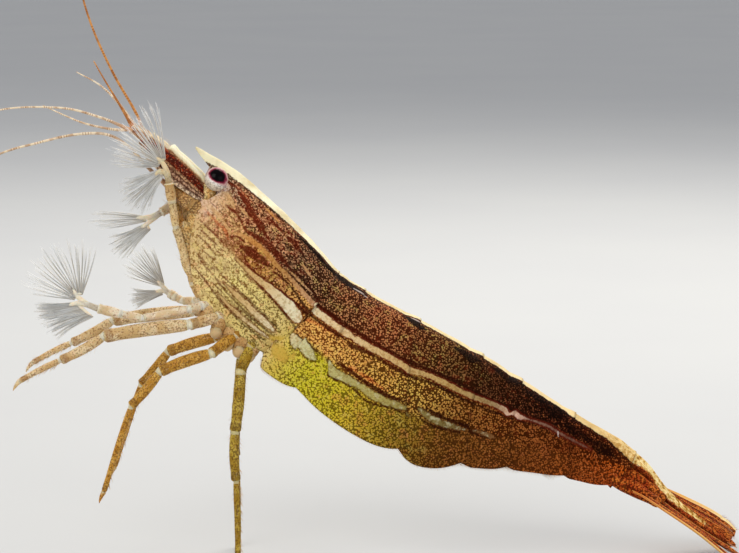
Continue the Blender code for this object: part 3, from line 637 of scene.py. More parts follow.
# Colours of the shell along the back: distance from the beak, red, green, blue.
SHELL_PAINTS = {
    "upper": ((5, 226, 196, 160), (9, 220, 164, 112), (12, 222, 166, 112), (16, 182, 138, 100),
              (22, 178, 124, 80), (27, 190, 120, 74), (33, 146, 104, 56), (38, 98, 60, 34), (46, 84, 42, 26),
              (51, 84, 38, 18), (56, 150, 80, 34)),
    "upper_dark": ((5, 84, 50, 26), (8, 68, 22, 8), (16, 36, 13, 3), (22, 50, 18, 2), (27, 64, 18, 2),
                   (35, 38, 14, 1), (47, 14, 4, 1), (56, 50, 12, 1)),
    "middle": ((5, 232, 194, 142), (9, 228, 180, 116), (12, 222, 164, 84), (16, 214, 160, 92),
               (22, 252, 188, 100), (28, 236, 178, 86), (33, 218, 172, 80), (38, 166, 110, 50),
               (44, 156, 92, 42), (50, 128, 64, 26), (53, 146, 68, 22), (56, 196, 92, 24)),
    "middle_dark": ((5, 140, 96, 48), (12, 88, 38, 4), (16, 66, 28, 2), (22, 104, 50, 6), (28, 80, 42, 3),
                    (36, 58, 26, 1), (44, 54, 20, 1), (56, 54, 16, 1)),
    "lower": ((5, 226, 192, 136), (10, 244, 220, 150), (14, 240, 218, 138), (18, 230, 204, 130),
              (20.6, 226, 200, 90), (23, 216, 204, 52), (26, 218, 200, 50), (29, 212, 178, 54),
              (33, 168, 136, 44), (38, 136, 88, 34), (46, 138, 78, 32), (50, 150, 80, 32),
              (56, 186, 84, 28)),
    "lower_dark": ((5, 146, 108, 54), (12, 138, 106, 40), (16, 104, 74, 18), (24, 94, 80, 2),
                   (33, 58, 38, 1), (38, 48, 22, 1), (56, 56, 18, 1)),
    "fleck": ((22, 248, 206, 140), (40, 200, 130, 76), (50, 210, 116, 56), (54, 244, 150, 84)),
    "ember": ((14, 238, 172, 124), (50, 216, 116, 58)),
    "dark": ((8, 100, 32, 14), (13, 84, 26, 10), (17, 48, 16, 6), (26, 66, 16, 4), (36, 40, 12, 4)),
    "tan": ((3, 240, 212, 188), (6, 222, 180, 128), (11, 204, 142, 74), (15, 190, 140, 78),
            (19, 212, 166, 124)),
    "cream": ((11, 210, 170, 106), (15, 222, 190, 134), (18, 240, 228, 192), (23, 232, 200, 150),
              (29, 214, 178, 120), (36, 186, 152, 92), (41, 158, 132, 92), (43.6, 226, 184, 160),
              (45.2, 132, 98, 80), (50, 116, 80, 66)),
    "sage": ((20, 236, 216, 168), (22, 220, 214, 160), (25, 196, 186, 122), (30, 186, 172, 100),
             (34, 146, 130, 74), (38, 118, 102, 58), (43, 140, 98, 60)),
    "stripe": ((0, 236, 226, 186), (10, 252, 242, 206), (26, 246, 226, 176), (44, 238, 212, 160),
               (56, 236, 204, 140)),
}


def make_shell_finish():
    """The carapace and tail plates: three speckled bands, a stripe on top and the painted markings."""
    f = moist("patterned_shell", roughness=0.4)
    along = f.field("along")
    wobble = f.noise(0.9, 3, 0.6) - 0.5
    fray = f.noise(0.28, 2, 0.6) - 0.5

    def along_back(stops):
        return f.ramp(along, *((s / BACK_LENGTH, *colour) for s, *colour in stops))

    def behind(low, high):
        """0 ahead of the distance low, 1 behind high."""
        return f.rise(along, low / BACK_LENGTH, high / BACK_LENGTH)

    paints = {name: along_back(stops) for name, stops in SHELL_PAINTS.items()}
    is_middle, is_low = f.field("middle"), f.field("low")
    light = f.mix(is_low, f.mix(is_middle, paints["upper"], paints["middle"]), paints["lower"])
    deep = f.mix(is_low, f.mix(is_middle, paints["upper_dark"], paints["middle_dark"]), paints["lower_dark"])

    clouds = f.noise(2.2, 3, 0.55)
    light = f.shade(0.34, light, f.ramp(clouds, (0.3, 186, 166, 156), (0.62, 255, 255, 255)))
    patches = f.noise(1.1, 2, 0.6)
    hindmost = behind(32, 42)
    light = f.mix(f.rise(patches, 0.54, 0.68) * (0.36 - hindmost * 0.24), light, (206, 110, 72))
    olive = (1 - f.rise(patches, 0.34, 0.46)) * (1 - hindmost)
    light = f.mix(olive * 0.3, light, (214, 196, 100))
    cheek = is_low * (1 - behind(17, 20))
    rows = (f.field("turn") * 150 + wobble * 3).math("SINE") * cheek
    streaks = f.slanting() - 0.5
    tail = behind(19, 24) * 0.3 + behind(36, 46) * 0.5 + 0.2
    cover = f.field("cover") * 0.85 + 0.1 + (clouds - 0.5) * 0.5 + rows * 0.15 - streaks * tail * 0.9
    foremost = behind(4.5, 7) * (1 - behind(13, 18))
    blotched = foremost * (1 - is_low) * 0.35
    specks = f.specks(0.15, cover) * (1 - blotched) + f.specks(0.36, cover + 0.12) * blotched
    flecks = f.rise(streaks, 0.06, 0.16) * tail
    light = f.mix(flecks * 0.5 * (1 - cheek), light, paints["fleck"])
    turn = f.field("turn")
    blush = (1 - behind(3.6, 7.4)) * f.rise(turn, 0.22, 0.34) * (1 - f.rise(turn, 0.5, 0.62))
    light = f.mix(blush * 0.7, light, f.ramp(clouds, (0.38, 226, 176, 140), (0.58, 240, 222, 208)))
    f.colour = f.mix(specks * (0.96 - blush * 0.5 - is_low * 0.12), light, deep)
    rust = f.rise(f.noise(0.8, 3, 0.6) + foremost * 0.1, 0.55, 0.66) * (1 - is_low * 0.6)
    f.cover(rust * (0.34 + foremost * 0.24 - hindmost * 0.14), (108, 30, 12))
    glowing = foremost * (1 - is_low) + behind(50, 54) * f.rise(streaks, -0.04, 0.08) * is_middle
    ember = f.rise(f.noise(0.22, 2), 0.57, 0.65) * glowing
    f.cover(ember * 0.85, paints["ember"])
    streak = f.rise(f.field("rust") + fray * 0.4 + wobble * 0.4, -0.12, 0.16)
    f.cover(streak * 0.6, f.mix(specks, (206, 98, 44), (120, 34, 10)))

    edge_dark = f.rise(f.field("dark") + fray * 0.34 + wobble * 0.3, -0.1, 0.1)
    f.cover(edge_dark * (0.92 - cheek * 0.16), paints["dark"])
    f.cover(ember * edge_dark * 0.5, (196, 104, 62))
    tan = f.rise(f.field("tan") + fray * 0.2 + wobble * 0.3, -0.07, 0.07)
    dust = f.ramp(fray + 0.5, (0.38, 184, 148, 108), (0.56, 255, 255, 255))
    f.cover(tan * 0.9, f.shade(0.6, paints["tan"], dust))
    cream_edge = f.field("cream") + fray * 0.2 + wobble * 0.34
    f.cover(f.rise(cream_edge, -0.28, -0.12) * 0.6, (96, 26, 12))
    cream = f.rise(cream_edge, -0.07, 0.07)
    grain = f.ramp(fray + 0.5, (0.36, 190, 166, 126), (0.56, 255, 255, 255))
    f.cover(cream * 0.95, f.shade(0.6, paints["cream"], grain))
    sage_edge = f.field("sage") + fray * 0.3 + wobble * 0.45
    f.cover(f.rise(sage_edge, -0.26, -0.1) * 0.6, (66, 30, 8))
    sage_colour = f.mix(f.rise(f.noise(0.6, 2, 0.5), 0.5, 0.66) * 0.5, paints["sage"], (224, 218, 178))
    f.cover(f.rise(sage_edge, -0.1, 0.12) * 0.88, f.shade(0.6, sage_colour, grain))
    f.cover(f.rise(f.field("gold") + wobble * 0.5, -0.3, 0.3) * 0.8, (206, 170, 70))
    black = f.rise(f.field("black") + fray * 0.5 + wobble * 0.3, -0.2, 0.2)
    f.cover(black * (0.94 - hindmost * 0.24), (13, 5, 3))
    silver = f.rise(f.field("silver") + fray * 0.06, -0.05, 0.05)
    f.cover(silver * 0.8, (196, 176, 166))

    stripe_edge = f.field("stripe") + fray * 0.34 + wobble * 0.3
    shadow = f.rise(stripe_edge, -0.34, 0)
    f.cover(shadow * 0.75, (40, 20, 10))
    stripe = f.rise(stripe_edge, -0.05, 0.1)
    chalk = f.ramp(clouds, (0.34, 206, 190, 158), (0.55, 255, 255, 255))
    stripe_colour = f.shade(0.6, paints["stripe"], chalk)
    ragged = 1 - f.rise(stripe_edge, 0.2, 1.1)
    mottle = f.rise(f.noise(0.42, 3, 0.65) + ragged * 0.12, 0.48, 0.62) * behind(50, 55)
    stripe_colour = f.mix(mottle * 0.75, stripe_colour, (170, 118, 34))
    f.cover(stripe, stripe_colour)

    hem = f.field("hem")
    f.cover(f.rise(hem, 0.6, 0.9) * 0.3, (44, 20, 8))
    pits = f.rise(f.cells(0.42), 0.05, 0.32)
    return f.done(pits * 0.5 + specks * 0.3 + f.noise(0.12, 2) * 0.35 + cream * 0.3, 0.035,
                  Roughness=0.34 + f.noise(0.5) * 0.22 - stripe * 0.04)


# ---------------------------------------------------------------- shell plates

def span(rows, columns):
    """Shares from front to back down the rows, and turns from the left edge to the right across."""
    return np.meshgrid(np.linspace(0, 1, rows), np.linspace(-1, 1, columns), indexing="ij")


def add_carapace(finish):
    """The shield over head and trunk, with its beak, orbits, spines, grooves and rims."""
    share, turn = span(190, 221)
    share = share**1.15
    away = np.abs(turn)
    fall, wide = profile(away, CARAPACE_TUCK, 1)
    front = carapace_front(fall)
    end = joint_at(0, fall) + 0.25
    corner = 1.2 * ease(away, 0.93, 1)**2
    s = front + corner * 0.6 + (end - corner - front) * share
    half = HEAD(s)[4]
    beak = 0.42 + 0.58 * ease(s, -0.5, 4.6)
    across = half * wide * beak * np.sign(turn)
    points = HEAD.place(s, fall, across)
    ridge = hump(across, 0.42)
    lift = 0.24 * ridge * (1 - ease(s, 5.5, 11))
    lift += 0.1 * ridge * ease(s, 9, 12)
    groove = hump(s - 8.6 - 2.4 * (away - 0.42)**2 * 9, 0.5) * ease(away, 0.2, 0.32)
    groove = groove * (1 - ease(away, 0.58, 0.7))
    lift -= 0.24 * groove
    branch = hump(away - 0.66, 0.035) * ease(s, 8.5, 11) * (1 - ease(s, 16, 19))
    lift += 0.1 * branch
    lift -= 0.16 * hump(away - 0.735, 0.03) * ease(s, 7.5, 10.5) * (1 - ease(s, 17, 19.5))
    spine = hump(fall - 0.335, 0.02) * (1 - ease(s - front, 0, 2.4))
    lift += 0.22 * spine
    lift += 0.12 * hump(s - front, 0.28) * ease(fall, 0.08, 0.2)
    lift += 0.12 * ease(away, 0.965, 0.99) + 0.1 * ease(end - s, 0.5, 0)
    lift += 0.03 * np.sin(s * 2.1 + 3 * away) * np.sin(away * 21 + s * 0.9)
    fields = flank_fields(points, s, turn)
    fields["hem"] = np.maximum(ease(end - s, 0.75, 0), ease(away, 0.93, 1) * 0.9)
    pile = Pile()
    add_shell(pile, points, lift, CARAPACE_THICKNESS, fields)
    pile.piece("carapace_shell", finish, "shell", "carapace")


def plate_grid(number, share, turn):
    """One tail plate: distances along the back, where it ends, places across, points and lift."""
    away = np.abs(turn)
    lobe = 1 - 0.115 * np.abs(2 * share - 1)**3.2
    tuck = PLATE_TUCK if number < 6 else 0.5
    fall, wide = profile(away, tuck, lobe if number < 6 else 1)
    side_lap = ease(away, 0.52, 0.62)
    start = joint_at(number - 1, fall) - UNDERLAP
    end = joint_at(number, fall) + OVERLAP
    front_lift, rear_lift = -0.34, 0.12
    if number == 1:
        end = end + side_lap * 0.5
        rear = rear_lift + side_lap * (-0.42)
        front = front_lift + 0 * away
    elif number == 2:
        start = start - side_lap * 0.3
        front = front_lift + side_lap * 0.56
        rear = rear_lift + 0.05 * side_lap
    else:
        front, rear = front_lift + 0 * away, rear_lift + 0 * away
    s = start + (end - start) * share
    lift = front * ease(s - start, 1.9, 0.9) + rear * ease(end - s, 1.3, 0.2)
    across = TAIL(s)[4] * wide * np.sign(turn)
    if number == 6:
        across = across * (1 + 0.12 * ease(share, 0.6, 1) * ease(away, 0.8, 0.3))
    return s, end, across, TAIL.place(s, fall, across), lift


def add_plates(finish):
    """Six rings of the tail. Each laps over the next; the second one's sides also lap over the first."""
    for number in range(1, 7):
        share, turn = span(64, 193)
        s, end, across, points, lift = plate_grid(number, share, turn)
        away = np.abs(turn)
        if number == 2:
            front_gap = s - (joint_at(1, profile(away, PLATE_TUCK, 1)[0]) - 1.8)
            lift = lift + 0.12 * hump(front_gap, 0.3) * ease(away, 0.55, 0.65)
        lift = lift + 0.07 * hump(across, 0.5)
        lift = lift + 0.13 * hump(away - 0.985, 0.02)
        hinge = np.exp(-((away - 0.56) / 0.035)**2 - ((end - s - 0.35) / 0.5)**2)
        lift = lift + 0.16 * hinge
        lift = lift - 0.05 * hump(end - s - 1.7, 0.25) * (1 - ease(away, 0.45, 0.6))
        lift = lift + 0.025 * np.sin(s * 1.7 + away * 5 + number) * np.sin(away * 17 - s * 0.6)
        fields = flank_fields(points, s, turn)
        fields["hem"] = np.maximum(ease(end - s, 0.62, 0), ease(away, 0.95, 1) * 0.75)
        pile = Pile()
        add_shell(pile, points, lift, PLATE_THICKNESS, fields)
        pile.piece(f"tail_plate_{number}", finish, "shell", f"somite_{number}")


# ---------------------------------------------------------------- skin and eyes

def make_flesh_finish():
    """The soft skin of the breast and of the underside of the tail."""
    f = moist("moist_skin", roughness=0.42, subsurface_weight=0.3)
    along = f.field("along")
    f.colour = f.ramp(along, (0.05, 206, 172, 128), (0.2, 212, 184, 132), (0.36, 196, 170, 104),
                      (0.55, 168, 132, 76), (0.8, 140, 88, 52))
    clouds = f.noise(1.1, 4, 0.6)
    f.cover(f.rise(clouds, 0.45, 0.7) * 0.6, (232, 214, 180))
    f.cover(f.specks(0.15, 0.2 + clouds * 0.3) * 0.65, (112, 70, 36))
    # Painted shade: the skin is darkened in its folds, where shade falls between the segments.
    f.cover(f.field("fold") * 0.5, (98, 62, 36))
    return f.done(f.noise(0.35, 3, 0.6) + f.field("fold") * -0.6, 0.06, Roughness=0.34 + clouds * 0.24)


def skin_ring(s, push, size):
    """One ring of skin round the body, a little inside the plates; it crosses between their lower edges."""
    round_body = np.linspace(-1, 1, SKIN_COLUMNS, endpoint=False)
    w, side = np.abs(round_body), np.sign(round_body)
    in_tail = ease(s, 19, 21.5)
    last_turn = 0.93 - 0.18 * ease(s, 19.5, 23)
    tuck = CARAPACE_TUCK + (PLATE_TUCK - CARAPACE_TUCK) * in_tail
    fall, wide = profile(np.minimum(w / SKIN_FLANKS, 1) * last_turn, tuck, 1)
    under = np.clip((w - SKIN_FLANKS) / (1 - SKIN_FLANKS), 0, 1) * np.pi / 2
    breast = 0.115 * np.sin(np.pi * np.clip((s - 8) / 13.5, 0, 1))
    fall = fall + (0.05 * in_tail + breast * (1 - in_tail)) * np.sin(under)
    wide = wide * np.cos(under)
    reach = 5 * (1 - ease(s, 5.6, 13.5))
    place_s = s + reach * fall**1.6 - push
    rings = []
    for back, share in ((HEAD, 1 - in_tail), (TAIL, in_tail)):
        x, z, tilt, depth, half = back(place_s)
        across = np.maximum(half * wide - 0.5 * (wide > 0.3) - 0.15, 0) * side
        inner = 0.5 + (fall - 0.5) * (1 - 0.9 / depth)
        shrunk = 0.5 + (inner - 0.5) * size
        rings.append(back.place(place_s, shrunk, across * size) * share)
    return rings[0] + rings[1]


def add_skin(finish):
    """The flesh inside the plates in one closed piece, with the folds of the breast and tail."""
    front, rear = 5.6, 51.5
    rings, painted = [], []
    for turn in np.linspace(0.02, 1, 12) * np.pi / 2:
        rings.append(skin_ring(front, np.cos(turn), np.sin(turn)))
        painted.append((front, 0.25))
    for s in np.linspace(5.7, rear, 220):
        ring = skin_ring(s, 0, 1)
        crease = math.sin(s * 2 * math.pi / (2.3 if s < 20 else 6.4))**8
        middle = ring.mean(axis=0)
        rings.append(middle + (ring - middle) * (1 - 0.03 * crease))
        painted.append((s, crease))
    for turn in np.linspace(0.9, 0.02, 8) * np.pi / 2:
        rings.append(skin_ring(rear, -0.8 * np.cos(turn), np.sin(turn)))
        painted.append((rear, 0))
    rings = np.array(rings)
    along, fold = np.repeat(painted, SKIN_COLUMNS, axis=0).T
    fields = {"along": np.append(along / BACK_LENGTH, [0.1, 0.9]), "fold": np.append(fold, [0, 0])}
    pile = Pile()
    add_closed(pile, rings, rings[[0, -1]].mean(axis=1), fields)
    pile.piece("body_skin", finish, "underside", "thorax_underside")


def make_eye_finish():
    """A dark wet cornea with a wine-red rim, on a pale speckled ball."""
    f = Finish("wet_eye", roughness=0.1, coat_weight=0.04, coat_roughness=0.03, specular_ior_level=0.04)
    oval = f.field("oval") + (f.noise(0.35, 2) - 0.5) * 0.16
    f.colour = f.ramp(oval, (0, 4, 2, 3), (0.38, 9, 3, 5), (0.43, 70, 10, 28), (0.5, 140, 44, 66),
                      (0.57, 214, 170, 166), (0.64, 240, 234, 226), (0.9, 222, 208, 186))
    pale = f.rise(oval, 0.57, 0.64)
    f.cover(pale * (1 - f.field("below")) * 0.85, (158, 112, 98))
    f.cover(f.specks(0.14, 0.2) * pale * 0.5, (96, 70, 60))
    return f.done(f.cells(0.07), 0.006, Roughness=0.07 + pale * 0.25)


def make_stalk_finish():
    """The soft pale stalks and sockets of the eyes."""
    f = moist("eye_stalk", roughness=0.35)
    clouds = f.noise(0.7, 3, 0.6)
    f.colour = f.ramp(clouds, (0.36, 206, 160, 128), (0.5, 226, 198, 176), (0.62, 238, 224, 214))
    f.cover(f.specks(0.16, 0.16) * 0.7, (132, 66, 44))
    return f.done(f.noise(0.2, 3), 0.03, Roughness=0.3 + clouds * 0.2)


def add_eyes(finish, stalk_finish):
    """Each eye is a ball on a short stalk, its dark oval turned outwards and a little up."""
    radius = 1.24
    for side, word in SIDES:
        centre = np.array((-8.05, side * 2.5, 41.24))
        gaze = unit(np.array((-0.08, side * 0.95, 0.26)))
        forward = unit(np.cross(gaze, np.array((0.55, 0, 0.83)) * side))
        upward = unit(np.cross(gaze, forward))
        turn = np.linspace(-0.5, 0.5, 42)
        path = centre + gaze * (radius * np.sin(np.pi * turn) * np.where(turn > 0, 1, 0.92))[:, None]
        pile = Pile()
        ball = np.maximum(radius * np.cos(np.pi * turn), 0.015)
        rings = add_tube(pile, path, ball, ball, sides=48, flat=(0, 0, 1))
        reach = (rings - centre) / radius
        ahead, up = reach @ forward, reach @ upward
        oval_ahead = (ahead - 0.05) / np.where(ahead > 0.05, 0.8, 0.74)
        oval_up = (up - 0.2) / np.where(up > 0.2, 0.66, 0.46)
        oval = np.where(reach @ gaze > 0, np.hypot(oval_ahead, oval_up), 2).ravel()
        pile.fields[-1]["oval"] = np.append(np.clip(oval / 2, 0, 1), [1, 0])
        pile.fields[-1]["below"] = np.append(ease(up, 0.05, -0.4).ravel(), [1, 0])
        pile.piece(f"eye_{word}", finish, "eye", f"eye_{word}")
        stalk = Pile()
        root, tip = centre + (0.9, -side * 2.2, -0.7), centre - gaze * 0.3 + (0.05, 0, -0.1)
        share = np.linspace(0, 1, 22)
        path = root + (tip - root) * share[:, None]
        girth = np.interp(share, (0, 0.3, 0.6, 0.85, 0.96, 1), (0.5, 0.55, 0.62, 0.9, 0.93, 0.8))
        add_tube(stalk, path, girth, girth * 0.94, sides=32, flat=(0, 0, 1), along=share)
        root, tip = centre + (1.7, -side * 1.6, -1.9), centre + (0.2, -side * 0.45, -0.85)
        path = root + (tip - root) * share[:, None]
        girth = np.interp(share, (0, 0.5, 0.85, 1), (0.5, 0.9, 0.8, 0.2))
        add_tube(stalk, path, girth, girth * 0.8, sides=32, flat=(0, 1, 0), along=share)
        stalk.piece(f"eye_stalk_{word}", stalk_finish, "eye")


# ---------------------------------------------------------------- segments of limbs

SEGMENT_GIRTH = ((0, 0.5), (0.03, 0.74), (0.1, 0.88), (0.28, 1), (0.6, 1.02), (0.82, 0.93), (0.92, 1.03),
                 (0.97, 1), (1, 0.7))


def add_segment(pile, start, end, girth, thick, sides, bow=(0, 0, 0), rows=22, taper=1, limb=0):
    """One stiff segment of a limb: pale where it starts, darkest before its slightly flared far end."""
    start, end = np.array(start, float), np.array(end, float)
    length = np.linalg.norm(end - start)
    share = np.linspace(0, 1, rows)
    share = share - 0.35 / (2 * np.pi) * np.sin(2 * np.pi * share)
    path = start + (end - start) * share[:, None] + np.outer(np.sin(np.pi * share), bow)
    shape = along_table(SEGMENT_GIRTH, share) * (1 + (taper - 1) * share)
    far = (1 - share) * length
    near = share * length
    band = ease(far, 1.25, 0.75) * ease(far, 0.08, 0.3)
    pale = np.maximum(1 - ease(near, 0.2, 0.5), 0.7 * (1 - ease(far, 0.05, 0.22)))
    return add_tube(pile, path, girth * shape, thick * shape, sides, along=share, pale=pale, band=band,
                    limb=np.full(rows, limb))


def add_knuckle(pile, place, along, girth, limb=0):
    """The soft pale joint between two segments."""
    turn = np.linspace(-0.48, 0.48, 9)
    path = np.array(place) + np.outer(girth * 1.1 * np.sin(np.pi * turn), along)
    round_girth = girth * np.cos(np.pi * turn) + 0.01
    add_tube(pile, path, round_girth, round_girth, 12, pale=np.ones(9), band=np.zeros(9),
             limb=np.full(9, limb), along=np.full(9, 0.5))


def add_limb(pile, places, girths, thick, sides, bows=None, tapers=None, start_limb=0):
    """Segments from place to place with a knuckle at each joint; returns the rings of each segment."""
    rings = []
    count = len(places) - 1
    for i in range(count):
        start, end = np.array(places[i], float), np.array(places[i + 1], float)
        way = unit(end - start)
        bow = (0, 0, 0) if bows is None else bows[i]
        taper = 1 if tapers is None else tapers[i]
        limb = start_limb + (1 - start_limb) * i / max(count - 1, 1)
        rings.append(add_segment(pile, start - way * 0.06, end + way * 0.05, girths[i], girths[i] * thick,
                                 sides, bow, taper=taper, limb=limb))
        if i:
            add_knuckle(pile, start, way, 0.8 * min(girths[i - 1], girths[i]), limb)
    return rings


# Each limb's finish: colours of light parts, warm parts, bands and knuckles; then specks and bands, 0 to 1.
LIMB_LOOKS = {
    "glassy_arm": ((236, 222, 196), (216, 190, 148), (160, 118, 76), (242, 228, 204), 0.04, 0.15),
    "tan_arm": ((224, 198, 148), (200, 162, 106), (130, 88, 44), (228, 206, 168), 0.16, 0.15),
    "amber_palp": ((222, 186, 122), (196, 146, 74), (112, 66, 26), (236, 216, 170), 0.3, 0.5),
    "leg_tan": ((226, 204, 162), (204, 170, 116), (132, 84, 40), (242, 226, 196), 0.2, 0.42),
    "leg_amber": ((212, 166, 80), (182, 130, 44), (104, 62, 16), (232, 214, 176), 0.28, 0.4),
    "leg_olive": ((196, 168, 70), (158, 124, 36), (88, 56, 12), (222, 200, 146), 0.32, 0.4),
    "feeler_base": ((214, 172, 112), (190, 138, 72), (90, 46, 14), (186, 136, 80), 0.4, 0.1),
    "face": ((240, 212, 150), (216, 170, 100), (118, 74, 30), (230, 206, 158), 0.3, 0.2),
    "soft_hip": ((212, 178, 124), (188, 146, 88), (126, 80, 40), (206, 176, 130), 0.2, 0.2),
}
# Each bristle's finish: colours of root, middle and tip, then how glassy it is.
BRISTLE_LOOKS = (("gold_bristle", (196, 140, 84), (222, 182, 132), (240, 216, 180), 0.2),
                 ("white_bristle", (226, 216, 200), (244, 241, 234), (255, 255, 252), 0.6),
                 ("rust_bristle", (140, 60, 24), (196, 104, 50), (226, 162, 104), 0.2))


def make_limb_finish(name, light, warm, band, pale, cover, banding):
    """Glassy segments with fine specks, dark bands before the joints and pale knuckles."""
    f = moist(name, subsurface_weight=0.35, roughness=0.3, specular_ior_level=0.12)
    clouds = f.noise(1.3, 3, 0.6)
    f.colour = f.mix(f.rise(clouds, 0.38, 0.64), warm, light)
    # Painted highlight: the upper side of each segment is lightened towards the light colour.
    f.cover(f.rise(f.field("top"), 0.5, 1) * 0.3, light)
    f.cover(f.specks(0.13, cover + (clouds - 0.5) * 0.6) * 0.7, band)
    fray = f.noise(0.3, 2) - 0.5
    f.cover(f.rise(f.field("band") + fray * 0.9, 0.45, 0.8) * banding, band)
    f.cover(f.rise(f.field("pale") + fray * 0.5, 0.35, 0.7) * 0.9, pale)
    return f.done(f.noise(0.16, 3, 0.6), 0.03, Roughness=0.24 + clouds * 0.25)


def make_bristle_finish(name, root, middle, tip, glassy):
    """Fine bristles that pale towards their tips, no two quite alike."""
    f = Finish(name, roughness=0.42, subsurface_weight=glassy, subsurface_radius=(0.6, 0.5, 0.4),
               subsurface_scale=0.2 * MM, sheen_weight=0.2)
    f.colour = f.ramp(f.field("length"), (0, *root), (0.35, *middle), (1, *tip))
    shade = f.field("shade")
    f.colour = f.shade(0.8, f.colour, f.ramp(shade, (0, 170, 158, 140), (0.6, 255, 255, 255)))
    return f.done(f.noise(0.08), 0.01, Roughness=0.32 + shade * 0.25)


def spread_bristles(pile, rings, rng, count, length, lean, girth, low=0.08, high=0.92, faces=None):
    """Hairs that stand on a bar's rings of points and lean towards its far end."""
    steps, sides = rings.shape[:2]
    at = rng.uniform(low, high, count) * (steps - 2)
    row = at.astype(int)
    part = (at - row)[:, None]
    k = rng.integers(0, sides, count) if faces is None else rng.choice(faces, count) % sides
    roots = rings[row, k] * (1 - part) + rings[row + 1, k] * part
    middle = rings.mean(axis=1)
    core = middle[row] * (1 - part) + middle[row + 1] * part
    out = unit(roots - core)
    way = unit(middle[np.minimum(row + 2, steps - 1)] - middle[row])
    aim = unit(out * (1 - lean) + way * lean + rng.normal(0, 0.12, (count, 3)))
    reach = length * rng.uniform(0.6, 1.1, count)
    t = np.linspace(0, 1, 6)[None, :, None]
    paths = (roots - out * 0.03)[:, None] + (aim * reach[:, None])[:, None] * t
    paths = paths + (way * reach[:, None])[:, None] * 0.22 * t**2
    radii = girth * (1 - 0.8 * t[..., 0]) * np.ones((count, 1))
    places = np.stack([0.02 + 0.95 * at / steps, 0.02 + 0.95 * k / sides], -1)
    add_bristles(pile, paths, radii, places, rng.uniform(0, 1, count))


# ---------------------------------------------------------------- head limbs and feelers

def make_head_limb_finish():
    """The stalks of the feelers: a cream ridge, a wine-brown band below it, then tan."""
    f = moist("feeler_stalk", subsurface_weight=0.2)
    fray = f.noise(0.3, 3, 0.6) - 0.5
    top = f.field("top") + fray * 0.3
    f.colour = f.ramp(top * 0.5 + 0.5, (0.12, 206, 168, 112), (0.34, 190, 138, 86), (0.42, 96, 32, 20),
                      (0.68, 70, 18, 10), (0.76, 170, 118, 72), (0.83, 240, 226, 186), (0.95, 252, 244, 212))
    glow = f.rise(f.noise(0.45, 2, 0.6), 0.56, 0.68)
    dark = f.rise(top, -0.25, 0) * (1 - f.rise(top, 0.3, 0.45))
    f.cover(glow * dark * 0.6, (190, 74, 44))
    below = 1 - f.rise(top, 0.2, 0.5)
    f.cover(f.specks(0.15, 0.3) * below * 0.6, (92, 48, 26))
    far = f.field("limb")
    f.cover(far * 0.7, f.mix(f.rise(fray, -0.1, 0.12), (206, 168, 136), (150, 96, 66)))
    f.cover(f.rise(f.field("pale") + fray * 0.3, 0.4, 0.75) * 0.5, (236, 220, 196))
    return f.done(f.noise(0.15, 3), 0.03, Roughness=0.3 + fray * 0.2)


def make_scale_finish():
    """The blade beside each stalk: wine-brown with embers, and fine lines along its outer edge."""
    f = moist("feeler_scale", subsurface_weight=0.25)
    fray = f.noise(0.25, 3, 0.6) - 0.5
    across = f.field("across") + fray * 0.26
    f.colour = f.ramp(across * 0.5 + 0.5, (0, 170, 122, 84), (0.12, 84, 26, 18), (0.46, 92, 32, 20),
                      (0.56, 196, 154, 112), (0.64, 92, 56, 42), (0.72, 206, 164, 130), (0.8, 84, 44, 30),
                      (0.9, 222, 190, 156))
    embers = f.rise(f.noise(0.5, 3, 0.7), 0.5, 0.62) * (1 - f.rise(across, -0.1, 0.1))
    f.cover(embers * 0.65, (176, 60, 26))
    sparks = f.rise(f.noise(0.2, 2, 0.7), 0.58, 0.68) * (1 - f.rise(across, 0, 0.2))
    f.cover(sparks * 0.55, (236, 178, 130))
    f.cover(f.specks(0.16, 0.36) * 0.75, (56, 22, 12))
    return f.done(f.noise(0.15, 3) + across * 0.3, 0.04)


def blade_grid(path, half, tilt, arch, columns):
    """A leaf along a path: half wide at each place, level across when tilt is 0 degrees, with an arch."""
    along = unit(np.gradient(path, axis=0))
    lean = np.array((0, 1, 0))
    flat = unit(lean - along * (along @ lean)[:, None])
    normal = np.cross(along, flat)
    angle = np.radians(tilt)
    wide = flat * np.cos(angle) + normal * np.sin(angle)
    up = np.cross(along, wide)
    v = np.linspace(-1, 1, columns)
    half = np.asarray(half)[:, None, None]
    arched = up[:, None] * arch * half * (1 - np.abs(v[:, None])**2)
    return path[:, None] + wide[:, None] * half * v[:, None] + arched, v


